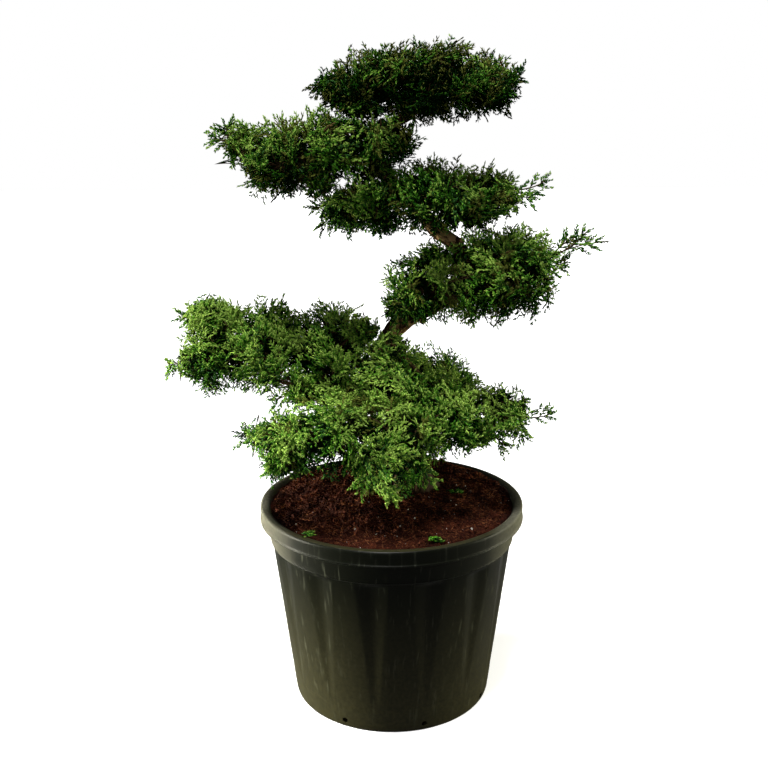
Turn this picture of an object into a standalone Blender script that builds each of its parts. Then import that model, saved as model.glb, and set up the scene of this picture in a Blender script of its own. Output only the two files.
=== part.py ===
"""A cloud-pruned juniper in a fluted nursery pot, in metres, +Z up.

The origin is the middle of the pot's flat underside. An S-shaped trunk stands on the soil
and carries boughs, and each bough ends in a mass of foliage: a dense core with twigs and
toothed sprays that grow out of it by one seeded rule.
"""

import math
import random

import bmesh
import bpy
from mathutils import Vector
from mathutils.bvhtree import BVHTree

GAP = 0.0003
WELD = 0.000001
UP = Vector((0.0, 0.0, 1.0))

# Pot
POT_HEIGHT = 0.400
RIM_RADIUS = 0.260
BODY_TOP_RADIUS = 0.2430
BASE_RADIUS = 0.196
LIP_HEIGHT = 0.371
COLLAR_HEIGHT = 0.328
COLLAR_STEP = 0.0025
FLUTE_BOTTOM = 0.055
FLUTE_RUNOUT = (0.020, 0.014)
FLUTES = 14
FLUTE_DEPTH = 0.004
FLUTE_SHARE_TOP = 0.62
FLUTE_SHARE_BOTTOM = 0.50
FLUTE_EDGE = 0.22
WALL = 0.0065
FLOOR = 0.006
FOOT_ROUND = (0.004, 0.008)
DRAIN_HOLES = 8
DRAIN_RADIUS = 0.0055
DRAIN_HEIGHT = 0.016
DRAIN_SIDES = 8
DRAIN_OVERRUN = 0.004
FIRST_DRAIN_ANGLE = math.radians(-117)
SHARP_ANGLE = math.radians(28)

# The rolled rim from its lip up and over, as (inset from the rim's radius, height)
RIM_PROFILE = [
    (0.004, LIP_HEIGHT),
    (0.000, LIP_HEIGHT + 0.008),
    (0.003, LIP_HEIGHT + 0.019),
    (0.009, POT_HEIGHT - 0.002),
    (0.013, POT_HEIGHT),
]

# Soil
SOIL_SIDES = 32
SOIL_EDGE_HEIGHT = 0.391
GROUND = 0.424
FLAT_RADIUS = 0.062
SOIL_LUMP = 0.004
SOIL_RINGS = (0.90, 0.74, 0.56, 0.38, 0.22, 0.08)

# Trunk: its foot, its bends and its tip, each with the trunk's radius there
TRUNK = [
    ((0.045, 0.020, GROUND), 0.0270),
    ((0.036, 0.026, 0.490), 0.0235),
    ((0.008, 0.030, 0.580), 0.0210),
    ((-0.014, 0.022, 0.675), 0.0190),
    ((0.012, 0.004, 0.748), 0.0176),
    ((0.078, -0.006, 0.790), 0.0163),
    ((0.140, 0.002, 0.832), 0.0150),
    ((0.138, 0.012, 0.888), 0.0138),
    ((0.090, 0.004, 0.930), 0.0124),
    ((0.050, -0.004, 0.978), 0.0114),
    ((0.000, 0.004, 1.020), 0.0104),
    ((-0.034, 0.014, 1.062), 0.0096),
    ((-0.012, 0.016, 1.108), 0.0088),
    ((0.042, 0.006, 1.140), 0.0080),
]
TRUNK_SIDES = 10
TRUNK_STEPS = 2
PLACE_STEPS = 20
SEAT_GAP = 1.1 * GAP
FLARE_HEIGHT = 0.030
FLARE = 0.65
BUTTRESSES = 5
BUTTRESS_DEPTH = 0.16

# Boughs: place along the trunk's points, tip, radius at the tip
BOUGH_SIDES = 6
BOUGH_STEPS = 3
BOUGH_SAG = 0.10
BOUGH_TAPER = 1.6
BOUGH_SHARE = 0.8
BOUGHS = {
    "upper_left": (11.0, (-0.085, -0.012, 1.072), 0.0060),
    "middle_left": (9.7, (-0.036, -0.006, 0.988), 0.0048),
    "middle_right": (9.0, (0.112, -0.012, 0.986), 0.0056),
    "right": (6.5, (0.192, 0.004, 0.852), 0.0060),
    "lower_left": (2.7, (-0.078, 0.036, 0.682), 0.0085),
    "lower_right": (2.1, (0.060, -0.016, 0.618), 0.0085),
    "front_left": (1.2, (-0.058, -0.076, 0.566), 0.0070),
    "front": (1.7, (0.008, -0.082, 0.585), 0.0065),
    "back": (1.5, (0.030, 0.108, 0.592), 0.0065),
}

# Foliage masses: lobes as (centre, half widths), and the far tips that leaders reach
MASSES = {
    "top": (
        [
            ((0.076, 0.006, 1.196), (0.112, 0.140, 0.062)),
            ((-0.040, 0.012, 1.188), (0.096, 0.115, 0.052)),
            ((0.170, 0.000, 1.184), (0.066, 0.105, 0.052)),
        ],
        [(-0.140, 0.000, 1.160), (0.240, -0.020, 1.206)],
    ),
    "upper_left": (
        [
            ((-0.198, -0.010, 1.060), (0.084, 0.115, 0.066)),
            ((-0.094, -0.022, 1.080), (0.098, 0.140, 0.062)),
            ((-0.004, -0.030, 1.096), (0.054, 0.100, 0.046)),
        ],
        [(-0.336, -0.010, 1.090), (-0.318, -0.020, 1.126), (-0.300, -0.030, 1.040)],
    ),
    "middle_left": (
        [
            ((-0.070, -0.010, 0.972), (0.072, 0.098, 0.050)),
            ((-0.020, -0.048, 1.006), (0.056, 0.070, 0.042)),
        ],
        [(-0.144, -0.012, 0.972), (-0.136, -0.020, 0.934)],
    ),
    "middle_right": (
        [
            ((0.176, -0.010, 0.982), (0.078, 0.110, 0.052)),
            ((0.062, -0.024, 0.978), (0.092, 0.130, 0.060)),
        ],
        [(0.286, -0.010, 1.016), (0.266, -0.030, 0.982)],
    ),
    "right": (
        [
            ((0.248, 0.000, 0.840), (0.072, 0.110, 0.072)),
            ((0.170, 0.000, 0.856), (0.082, 0.140, 0.072)),
            ((0.060, -0.052, 0.832), (0.072, 0.080, 0.064)),
        ],
        [(0.394, -0.004, 0.909), (0.352, -0.014, 0.934), (0.300, -0.030, 0.780)],
    ),
    "lower_left": (
        [
            ((-0.126, 0.042, 0.688), (0.098, 0.150, 0.078)),
            ((-0.236, 0.040, 0.698), (0.092, 0.145, 0.080)),
            ((-0.340, 0.034, 0.700), (0.078, 0.118, 0.074)),
        ],
        [(-0.434, 0.010, 0.682), (-0.402, 0.020, 0.768), (-0.300, 0.000, 0.600)],
    ),
    "lower_right": (
        [
            ((0.104, -0.024, 0.594), (0.096, 0.140, 0.070)),
            ((0.018, -0.014, 0.650), (0.088, 0.140, 0.060)),
            ((0.202, -0.020, 0.574), (0.068, 0.095, 0.048)),
        ],
        [(0.304, -0.030, 0.578), (0.278, -0.050, 0.540), (0.150, -0.060, 0.512)],
    ),
    "front_left": (
        [
            ((-0.112, -0.120, 0.576), (0.082, 0.110, 0.070)),
            ((-0.198, -0.104, 0.548), (0.072, 0.095, 0.056)),
        ],
        [(-0.278, -0.110, 0.572), (-0.190, -0.150, 0.486)],
    ),
    "front": (
        [((0.000, -0.142, 0.562), (0.086, 0.098, 0.084))],
        [(0.008, -0.190, 0.470), (-0.060, -0.180, 0.484), (0.078, -0.150, 0.486)],
    ),
    "back": (
        [
            ((0.066, 0.170, 0.600), (0.100, 0.095, 0.062)),
            ((-0.060, 0.190, 0.574), (0.086, 0.084, 0.056)),
        ],
        [(0.168, 0.210, 0.590), (-0.136, 0.250, 0.560)],
    ),
}
CORE_SHARE = 0.80
TUFT_HEIGHT = (0.006, 0.029)
TUFT_SLOPE = 1.1
LONG_EDGE = 0.084
CORE_LUMP = 0.08
PULL = 0.94
STEM_SIDES = 6
STEM_TAPER = 0.55
BRANCH_TAPER = (0.7, 0.4)
MASS_GAP = 0.06
CORE_GAP = 0.26
LIMB_CLEARANCE = 0.0015
SOIL_CLEARANCE = 0.010

# Sprays: toothed blades on three-sided stalks, their roots in the cores
SPRAYS_PER_AREA = 230
UNDERSIDE_CUT = 0.3
TWIG_SIDES = 3
TWIG_RADIUS = 0.0020
TWIG_KEEL = 1.7 * TWIG_RADIUS
STALK_SHARE = 0.30
TIP_REACH = (1.12, 1.30)
BURIED = 1.0
LIFT = 0.30
STAND = 0.62
LEAN = 0.78
FACE_JITTER = 0.45
TURN_JITTER = 0.3
SPRAY_LENGTH = (0.090, 0.125)
SPRAY_THICKNESS = 0.0036
SPRAY_BOW = 0.10
LEADER_SPRAYS = 2
LEADER_SPREAD = 0.45
LEADER_ROOT = 0.2
LEADER_TAPER = 1.4
LEADER_FACE = Vector((0.0, -1.0, 0.8))
SIDE_SPRAY_SHARE = 0.8
SIDE_SPRAY_ANGLE = math.radians(42)
GOLDEN_ANGLE = math.pi * (3.0 - math.sqrt(5.0))

# Teeth of a spray, as (prong, notch), each (along, across) in shares of its length
TEETH = [((0.68, 0.27), (0.52, 0.07))]
LEADER_TEETH = [((0.60, 0.26), (0.48, 0.08)), ((0.84, 0.18), (0.72, 0.05))]


def clear_scene():
    """Removes the objects that Blender starts with."""
    for obj in list(bpy.data.objects):
        bpy.data.objects.remove(obj)


def material(name, colour, roughness):
    """A Principled material of one colour, not metallic."""
    made = bpy.data.materials.new(name)
    made.use_nodes = True
    shader = made.node_tree.nodes["Principled BSDF"]
    shader.inputs["Base Color"].default_value = (*colour, 1.0)
    shader.inputs["Roughness"].default_value = roughness
    shader.inputs["Metallic"].default_value = 0.0
    return made


def mesh_object(name, vertices, faces, finish=None):
    """An object from points and faces, with its normals pointing out."""
    mesh = bpy.data.meshes.new(name)
    mesh.from_pydata([tuple(v) for v in vertices], [], faces)
    mesh.update()
    shape = bmesh.new()
    shape.from_mesh(mesh)
    bmesh.ops.recalc_face_normals(shape, faces=shape.faces)
    shape.to_mesh(mesh)
    shape.free()
    obj = bpy.data.objects.new(name, mesh)
    bpy.context.scene.collection.objects.link(obj)
    if finish:
        mesh.materials.append(finish)
    return obj


def stacked_rings(rings):
    """Points and faces of a closed body whose skin runs through equal rings of points."""
    count = len(rings[0])
    points = [point for ring in rings for point in ring]
    faces = [list(range(count))]
    for i in range(len(rings) - 1):
        low = i * count
        high = low + count
        for j in range(count):
            after = (j + 1) % count
            faces.append([low + j, low + after, high + after, high + j])
    last = (len(rings) - 1) * count
    faces.append([last + j for j in range(count)])
    return points, faces


def smooth_points(points, steps):
    """Points on a Catmull-Rom curve through the given ones, with steps points to a span."""
    padded = [points[0] * 2 - points[1], *points, points[-1] * 2 - points[-2]]
    made = []
    for i in range(1, len(padded) - 2):
        before, here, after, beyond = padded[i - 1 : i + 3]
        for k in range(steps):
            t = k / steps
            made.append(
                0.5
                * (
                    here * 2
                    + (after - before) * t
                    + (before * 2 - here * 5 + after * 4 - beyond) * t * t
                    + (here * 3 - before - after * 3 + beyond) * t * t * t
                )
            )
    made.append(points[-1])
    return made


def spread(values, steps):
    """Values between the given ones, in line with smooth_points."""
    made = [
        a + (b - a) * k / steps for a, b in zip(values, values[1:]) for k in range(steps)
    ]
    return [*made, values[-1]]


def limb_rings(path, radii, sides, first_normal=None, swell=None):
    """Rings of points square to a path. swell(centre, angle) may widen each point."""
    rings = []
    side = None
    for i, centre in enumerate(path):
        ahead = path[min(i + 1, len(path) - 1)] - path[max(i - 1, 0)]
        if i == 0 and first_normal:
            ahead = first_normal
        ahead = ahead.normalized()
        if side is None:
            side = ahead.orthogonal()
        side = (side - ahead * side.dot(ahead)).normalized()
        other = ahead.cross(side)
        ring = []
        for j in range(sides):
            angle = math.tau * j / sides
            reach = radii[i] * (swell(centre, angle) if swell else 1.0)
            ring.append(centre + (side * math.cos(angle) + other * math.sin(angle)) * reach)
        rings.append(ring)
    return rings


def turned(radius, height, angles):
    """A level ring of points round the pot's axis. radius may be one number or one a point."""
    radii = radius if isinstance(radius, list) else [radius] * len(angles)
    return [Vector((r * math.cos(a), r * math.sin(a), height)) for r, a in zip(radii, angles)]


def body_radius(height):
    """Outer radius of the pot's plain cone at a height."""
    return BASE_RADIUS + (BODY_TOP_RADIUS - BASE_RADIUS) * height / LIP_HEIGHT


def inner_radius(height):
    """Inner radius of the pot at a height."""
    return body_radius(height) - WALL


def fluted_ring(height, share):
    """A ring whose every flute is pressed in over a share of its pitch."""
    pitch = math.tau / FLUTES
    outer = body_radius(height)
    inner = outer - FLUTE_DEPTH
    angles = []
    radii = []
    for i in range(FLUTES):
        for place, radius in (
            (-0.5, outer),
            (FLUTE_EDGE - 0.5, inner),
            (0.5 - FLUTE_EDGE, inner),
            (0.5, outer),
        ):
            angles.append((i + place * share) * pitch)
            radii.append(radius)
    return turned(radii, height, angles)


def build_pot(finish):
    """The pot: plain foot, fluted wall, collar, rolled rim, plain inside, drain holes."""
    even = [math.tau * (j - 1.5) / (4 * FLUTES) for j in range(4 * FLUTES)]
    floor_radius = inner_radius(FLOOR)
    collar_radius = body_radius(COLLAR_HEIGHT)
    rings = [
        turned(BASE_RADIUS - FOOT_ROUND[0], 0.0, even),
        turned(BASE_RADIUS, FOOT_ROUND[1], even),
        turned(body_radius(FLUTE_BOTTOM), FLUTE_BOTTOM, even),
        fluted_ring(FLUTE_BOTTOM + FLUTE_RUNOUT[0], FLUTE_SHARE_BOTTOM),
        fluted_ring(COLLAR_HEIGHT - FLUTE_RUNOUT[1], FLUTE_SHARE_TOP),
        turned(collar_radius, COLLAR_HEIGHT, even),
        turned(collar_radius + COLLAR_STEP, COLLAR_HEIGHT + COLLAR_STEP, even),
        turned(BODY_TOP_RADIUS + COLLAR_STEP, LIP_HEIGHT, even),
        *(turned(RIM_RADIUS - inset, height, even) for inset, height in RIM_PROFILE),
        turned(inner_radius(SOIL_EDGE_HEIGHT), SOIL_EDGE_HEIGHT, even),
        turned(floor_radius, FLOOR, even),
    ]
    pot = mesh_object("pot", *stacked_rings(rings), finish)
    cutters = bpy.data.collections.new("drain_cutters")
    for i in range(DRAIN_HOLES):
        angle = FIRST_DRAIN_ANGLE + math.tau * i / DRAIN_HOLES
        outward = Vector((math.cos(angle), math.sin(angle), 0.0))
        ends = (floor_radius - DRAIN_OVERRUN, body_radius(DRAIN_HEIGHT) + DRAIN_OVERRUN)
        path = [outward * reach + UP * DRAIN_HEIGHT for reach in ends]
        rings = limb_rings(path, [DRAIN_RADIUS] * 2, DRAIN_SIDES)
        move_to(mesh_object(f"drain_cutter_{i}", *stacked_rings(rings)), cutters)
    combine(pot, cutters, "DIFFERENCE")
    pot.data.shade_smooth()
    pot.data.set_sharp_from_angle(angle=SHARP_ANGLE)


def soil_height(x, y, radius, rng):
    """Height of the soil's lumpy dome, flat round the trunk's foot."""
    foot = TRUNK[0][0]
    if math.hypot(x - foot[0], y - foot[1]) < FLAT_RADIUS:
        return GROUND - GAP
    edge = inner_radius(SOIL_EDGE_HEIGHT)
    dome = SOIL_EDGE_HEIGHT + (GROUND - SOIL_EDGE_HEIGHT) * (1 - (radius / edge) ** 2)
    return min(dome + SOIL_LUMP * rng.uniform(-1, 1), GROUND - 2 * GAP)


def build_soil(finish):
    """The potting soil, from the pot's floor to its dome, a hair clear of the pot."""
    rng = random.Random(5)
    angles = [math.tau * (j - 0.75) / SOIL_SIDES for j in range(SOIL_SIDES)]
    bottom = FLOOR + GAP
    edge = inner_radius(SOIL_EDGE_HEIGHT)
    rings = [
        turned(inner_radius(bottom) - 2 * GAP, bottom, angles),
        turned(edge - 2 * GAP, SOIL_EDGE_HEIGHT, angles),
    ]
    for share in SOIL_RINGS:
        radius = edge * share
        ring = []
        for angle in angles:
            x, y = radius * math.cos(angle), radius * math.sin(angle)
            ring.append(Vector((x, y, soil_height(x, y, radius, rng))))
        rings.append(ring)
    mesh_object("soil", *stacked_rings(rings), finish)


def trunk_point(place):
    """The point at a place along the trunk's points, such as 2.5 between two of them."""
    curve = smooth_points([Vector(point) for point, _ in TRUNK], PLACE_STEPS)
    return curve[round(place * PLACE_STEPS)]


def trunk_radius(place):
    """The trunk's radius at a place along its points."""
    radii = spread([radius for _, radius in TRUNK], PLACE_STEPS)
    return radii[round(place * PLACE_STEPS)]


def root_flare(centre, angle):
    """How much wider than its plain radius the trunk is near the ground."""
    near = math.exp(-(centre.z - GROUND) / FLARE_HEIGHT)
    return 1.0 + near * (FLARE + BUTTRESS_DEPTH * math.cos(BUTTRESSES * angle))


def limb_end(rings, path, radius):
    """What a mass needs to know of the limb that carries it: ring, point, heading, radius."""
    return rings[-1], path[-1], (path[-1] - path[-2]).normalized(), radius


def build_trunk(finish):
    """The whole trunk, from its flat cut at ground level to its tip.

    Returns its end, a clearance that foliage is cut with, and a seat that boughs are cut with.
    """
    path = smooth_points([Vector(point) for point, _ in TRUNK], TRUNK_STEPS)
    radii = spread([radius for _, radius in TRUNK], TRUNK_STEPS)
    rings = limb_rings(path, radii, TRUNK_SIDES, UP, root_flare)
    trunk = mesh_object("trunk", *stacked_rings(rings), finish)
    trunk.data.shade_smooth()
    tight = limb_rings(path, [r + SEAT_GAP for r in radii], TRUNK_SIDES, UP, root_flare)
    wide = limb_rings(*swollen(path, radii), TRUNK_SIDES, UP, root_flare)
    end = limb_end(rings, path, radii[-1])
    return end, helper("trunk_clearance", wide), helper("trunk_seat", tight)


def swollen(path, radii):
    """A limb's centreline and radii, widened and lengthened to keep foliage clear of it."""
    ahead = (path[-1] - path[-2]).normalized()
    longer = [*path, path[-1] + ahead * LIMB_CLEARANCE]
    return longer, [radius + LIMB_CLEARANCE for radius in [*radii, radii[-1]]]


def helper(name, rings):
    """A cutter that isn't part of the model."""
    obj = mesh_object(name, *stacked_rings(rings))
    obj.hide_render = True
    obj.display_type = "WIRE"
    return obj


def move_to(obj, collection):
    """Puts an object into one collection alone."""
    for old in list(obj.users_collection):
        old.objects.unlink(obj)
    collection.objects.link(obj)


def combine(obj, collection, operation, solver="EXACT"):
    """Applies one Boolean with a whole collection, whose objects are then removed."""
    bpy.context.scene.collection.children.link(collection)
    modifier = obj.modifiers.new(operation.lower(), "BOOLEAN")
    modifier.operation = operation
    modifier.operand_type = "COLLECTION"
    modifier.collection = collection
    modifier.solver = solver
    apply_modifiers(obj)
    for used in list(collection.objects):
        bpy.data.objects.remove(used)
    bpy.data.collections.remove(collection)


def apply_modifiers(obj):
    """Makes the evaluated mesh the object's own."""
    graph = bpy.context.evaluated_depsgraph_get()
    mesh = bpy.data.meshes.new_from_object(obj.evaluated_get(graph))
    obj.modifiers.clear()
    obj.data = mesh


def cut_with(obj, cutter, solver="EXACT"):
    """Applies one Boolean difference with an object that stays."""
    modifier = obj.modifiers.new("cut", "BOOLEAN")
    modifier.operation = "DIFFERENCE"
    modifier.object = cutter
    modifier.solver = solver
    apply_modifiers(obj)


def keep_largest_body(obj):
    """Drops loose scraps and the skins of sealed hollows, which fills the hollows."""
    shape = bmesh.new()
    shape.from_mesh(obj.data)
    bmesh.ops.remove_doubles(shape, verts=shape.verts, dist=WELD)
    bodies = []
    left = set(shape.faces)
    while left:
        front = [left.pop()]
        body = set(front)
        while front:
            for edge in front.pop().edges:
                fresh = [face for face in edge.link_faces if face in left]
                left.difference_update(fresh)
                body.update(fresh)
                front.extend(fresh)
        bodies.append(body)
    largest = max(bodies, key=lambda body: sum(face.calc_area() for face in body))
    scraps = [face for body in bodies if body is not largest for face in body]
    bmesh.ops.delete(shape, geom=scraps, context="FACES")
    shape.to_mesh(obj.data)
    shape.free()


def bough_path(place, tip):
    """The centreline of a bough, out of the trunk's middle and then round towards its tip."""
    start = trunk_point(place)
    middle = start.lerp(tip, 0.5) - UP * BOUGH_SAG * (tip - start).length
    return smooth_points([start, middle, tip], BOUGH_STEPS)


def build_boughs(finish, trunk_seat):
    """Each bough as one tapering limb, coped to the trunk. Returns the ends and clearances."""
    ends = {}
    clearances = []
    for name, (place, tip, tip_radius) in BOUGHS.items():
        path = bough_path(place, Vector(tip))
        start_radius = min(tip_radius * BOUGH_TAPER, trunk_radius(place) * BOUGH_SHARE)
        radii = spread([start_radius, tip_radius], len(path) - 1)
        rings = limb_rings(path, radii, BOUGH_SIDES)
        bough = mesh_object(f"bough_{name}", *stacked_rings(rings), finish)
        cut_with(bough, trunk_seat)
        keep_largest_body(bough)
        bough.data.shade_smooth()
        wide = limb_rings(*swollen(path, radii), BOUGH_SIDES)
        clearances.append(helper(f"bough_{name}_clearance", wide))
        ends[name] = limb_end(rings, path, tip_radius)
    return ends, clearances


def lobe_measure(point, lobe):
    """Distance from a lobe's centre, as a share of the way to its skin."""
    centre, half = lobe
    return math.sqrt(sum(((point[k] - centre[k]) / half[k]) ** 2 for k in range(3)))


def mass_measure(point, name):
    """Distance from the nearest lobe of a mass, as a share of the way to its skin."""
    return min(lobe_measure(point, lobe) for lobe in MASSES[name][0])


def in_own_space(points, name, gap=MASS_GAP):
    """True if every point is nearer to this mass than to any other, and clear of the soil."""
    for point in points:
        if point[2] < GROUND + SOIL_CLEARANCE:
            return False
        own = mass_measure(point, name)
        for other in MASSES:
            if other != name and mass_measure(point, other) < own + gap:
                return False
    return True


def surface_tree(points, faces):
    """A search tree of a mesh's faces."""
    return BVHTree.FromPolygons([tuple(point) for point in points], faces)


def spray(root, heading, normal, length, teeth):
    """Points and faces of a toothed blade on a three-sided stalk, bowed towards its tip.

    Every station has a left, a right and a ridge point, and each tooth is a prong ahead of a
    notch on both sides, so the blade is thickest along its ridge and sharp at its prongs.
    """
    side = heading.cross(normal).normalized()
    normal = side.cross(heading).normalized()

    def place(along, across, lift):
        bow = SPRAY_BOW * length * along**2
        return root + heading * along * length + side * across + normal * (lift - bow)

    points = []
    for along in (0.0, STALK_SHARE):
        points += [place(along, sign * TWIG_RADIUS, 0.0) for sign in (-1, 1)]
        points.append(place(along, 0.0, TWIG_KEEL))
    faces = [[0, 1, 2], [0, 1, 4, 3], [0, 3, 5, 2], [1, 4, 5, 2]]
    left, right, ridge = 3, 4, 5
    for (prong, spread_out), (notch, waist) in teeth:
        first = len(points)
        points += [place(prong, sign * spread_out * length, 0.0) for sign in (-1, 1)]
        points += [place(notch, sign * waist * length, 0.0) for sign in (-1, 1)]
        points.append(place(notch, 0.0, SPRAY_THICKNESS))
        for old, new, waist_point in ((left, first, first + 2), (right, first + 1, first + 3)):
            faces += [[ridge, old, new], [ridge, new, first + 4], [new, waist_point, first + 4]]
            faces.append([old, new, waist_point])
        faces.append([left, right, first + 3, first + 2])
        left, right, ridge = first + 2, first + 3, first + 4
    tip = len(points)
    points.append(place(1.0, 0.0, 0.0))
    faces += [[left, ridge, tip], [right, ridge, tip], [left, right, tip]]
    return points, faces


def add_piece(points, faces, name, limbs, into):
    """Adds one piece to a mass unless it would leave its space or touch a limb."""
    tree = surface_tree(points, faces)
    if in_own_space(points, name) and not any(tree.overlap(limb) for limb in limbs):
        move_to(mesh_object(f"{name}_piece", points, faces), into)


def jitter(rng):
    """A small random vector."""
    return Vector([rng.uniform(-1, 1) for _ in range(3)])


def grow_leader(name, lobe, tip, limbs, into, rng):
    """A long twig from inside a lobe to one of the mass's far tips, with paired sprays."""
    root = Vector(lobe[0]).lerp(tip, LEADER_ROOT)
    heading = (tip - root).normalized()
    length = SPRAY_LENGTH[0]
    end = tip - heading * length * (1.0 - STALK_SHARE)
    radii = [TWIG_RADIUS * LEADER_TAPER, TWIG_RADIUS]
    add_piece(*stacked_rings(limb_rings([root, end], radii, TWIG_SIDES)), name, limbs, into)
    normal = LEADER_FACE + jitter(rng) * FACE_JITTER
    side = heading.cross(normal).normalized()
    blade = spray(tip - heading * length, heading, normal, length, LEADER_TEETH)
    add_piece(*blade, name, limbs, into)
    reach = (end - Vector(lobe[0])).length
    for k in range(LEADER_SPRAYS):
        turn = SIDE_SPRAY_ANGLE if k % 2 else -SIDE_SPRAY_ANGLE
        aim = heading * math.cos(turn) + side * math.sin(turn)
        foot = end - heading * reach * LEADER_SPREAD * k / LEADER_SPRAYS - aim * TWIG_RADIUS
        blade = spray(foot, aim, normal, length * SIDE_SPRAY_SHARE, TEETH)
        add_piece(*blade, name, limbs, into)


def grow_lobe(name, lobe, trees, pieces, rng):
    """Sprays spread over a lobe's skin by the golden angle, leaning outwards and a little up."""
    centre, half = Vector(lobe[0]), lobe[1]
    area = half[0] * half[1] + half[1] * half[2] + half[0] * half[2]
    count = round(SPRAYS_PER_AREA * area)
    others = [other for other in MASSES[name][0] if other is not lobe]
    for i in range(count):
        level = 1.0 - (2.0 - UNDERSIDE_CUT) * (i + 0.5) / count
        turn = GOLDEN_ANGLE * i + rng.uniform(-TURN_JITTER, TURN_JITTER)
        flat = math.sqrt(1.0 - level * level)
        out = Vector((flat * math.cos(turn), flat * math.sin(turn), level))
        skin = Vector([out[k] * half[k] for k in range(3)]) * rng.uniform(*TIP_REACH)
        normal = Vector([out[k] / half[k] for k in range(3)]).normalized()
        along = jitter(rng) + UP * LIFT
        along = (along - normal * along.dot(normal)).normalized()
        heading = (normal * STAND + along * LEAN).normalized()
        length = rng.uniform(*SPRAY_LENGTH)
        if all(lobe_measure(centre + skin, other) > BURIED for other in others):
            root = centre + skin - heading * length
            blade = spray(root, heading, normal + jitter(rng) * FACE_JITTER, length, TEETH)
            add_piece(*blade, name, trees, pieces)


def lobe_points(name, lobe, rng):
    """Lumpy points round one lobe, each pulled in until it is in the mass's own space."""
    centre, half = Vector(lobe[0]), lobe[1]
    shape = bmesh.new()
    bmesh.ops.create_icosphere(shape, subdivisions=2, radius=CORE_SHARE)
    points = []
    for vertex in shape.verts:
        lump = 1.0 + CORE_LUMP * rng.uniform(-1, 1)
        point = centre + Vector([vertex.co[k] * half[k] * lump for k in range(3)])
        while not in_own_space([point], name, CORE_GAP):
            point = centre.lerp(point, PULL)
        points.append(point)
    shape.free()
    return points


def build_core(name, points, limbs, into, rng):
    """The convex hull of the lobes' points, with a tuft on every face, cut clear of the limbs."""
    shape = bmesh.new()
    corners = [shape.verts.new(point) for point in points]
    made = bmesh.ops.convex_hull(shape, input=corners)
    inner = set(made["geom_interior"] + made["geom_unused"]).intersection(corners)
    bmesh.ops.delete(shape, geom=list(inner), context="VERTS")
    long_edges = [edge for edge in shape.edges if edge.calc_length() > LONG_EDGE]
    bmesh.ops.subdivide_edges(shape, edges=long_edges, cuts=1)
    bmesh.ops.triangulate(shape, faces=shape.faces)
    bmesh.ops.recalc_face_normals(shape, faces=shape.faces)
    tips = {}
    for face in shape.faces:
        height = min(rng.uniform(*TUFT_HEIGHT), TUFT_SLOPE * math.sqrt(face.calc_area()))
        tip = face.calc_center_median() + (face.normal + UP * LIFT) * height
        tips[face] = tip if in_own_space([tip], name) else face.calc_center_median()
    for face, tip in tips.items():
        bmesh.ops.poke(shape, faces=[face])["verts"][0].co = tip
    mesh = bpy.data.meshes.new(f"{name}_core")
    shape.to_mesh(mesh)
    shape.free()
    core = bpy.data.objects.new(mesh.name, mesh)
    bpy.context.scene.collection.objects.link(core)
    for limb in limbs:
        cut_with(core, limb, "MANIFOLD")
    keep_largest_body(core)
    move_to(core, into)


def object_tree(obj):
    """A search tree of an object's faces."""
    mesh = obj.data
    return surface_tree([v.co for v in mesh.vertices], [list(p.vertices) for p in mesh.polygons])


def build_mass(name, end, limbs, finish, seed):
    """One mass of foliage: a stem from its limb's end, a core, and sprays all round."""
    rng = random.Random(seed)
    lobes, far_tips = MASSES[name]
    pieces = bpy.data.collections.new(f"{name}_pieces")
    trees = [object_tree(limb) for limb in limbs]
    end_ring, end_point, direction, radius = end
    heart = Vector(lobes[0][0])
    first = [point + direction * GAP for point in end_ring]
    second = [point + direction * radius for point in first]
    last = [heart + (point - end_point) * STEM_TAPER for point in end_ring]
    foliage = mesh_object(f"foliage_{name}", *stacked_rings([first, second, last]), finish)
    points = [point for lobe in lobes for point in lobe_points(name, lobe, rng)]
    build_core(name, points, limbs, pieces, rng)
    for lobe in lobes[1:]:
        path = [heart, Vector(lobe[0])]
        branch = limb_rings(path, [radius * share for share in BRANCH_TAPER], STEM_SIDES)
        add_piece(*stacked_rings(branch), name, trees, pieces)
    for lobe in lobes:
        grow_lobe(name, lobe, trees, pieces, rng)
    for tip in far_tips:
        nearest = min(lobes, key=lambda lobe: lobe_measure(tip, lobe))
        grow_leader(name, nearest, Vector(tip), trees, pieces, rng)
    combine(foliage, pieces, "UNION", "MANIFOLD")
    keep_largest_body(foliage)


def main():
    """Builds the pot, the soil, the limbs and the masses."""
    clear_scene()
    plastic = material("pot_plastic", (0.012, 0.014, 0.010), 0.42)
    peat = material("soil", (0.045, 0.014, 0.008), 0.95)
    bark = material("bark", (0.095, 0.055, 0.030), 0.85)
    leaf = material("foliage", (0.050, 0.130, 0.022), 0.60)
    build_pot(plastic)
    build_soil(peat)
    trunk_end, trunk_clearance, trunk_seat = build_trunk(bark)
    ends, clearances = build_boughs(bark, trunk_seat)
    ends["top"] = trunk_end
    limbs = [trunk_clearance, *clearances]
    for seed, name in enumerate(MASSES):
        build_mass(name, ends[name], limbs, leaf, seed)


if __name__ == "__main__":
    main()
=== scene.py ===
"""A potted, cloud-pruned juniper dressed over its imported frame, in metres, +Z up.

The pot, the soil and the limbs are surfaces worked out on grids. Each mass of foliage grows
from its limb's end by the rule of the part's source, carried on to finer shoots: a stem,
branches to its lobes, branchlets, twigs, and on every twig a flat spray of scaly shoots.
"""

from __future__ import annotations

import logging
import math
from collections.abc import Sequence
from dataclasses import dataclass, field
from enum import Enum

import bpy
import numpy as np
from mathutils import Matrix, Vector
from numpy.typing import NDArray


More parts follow.
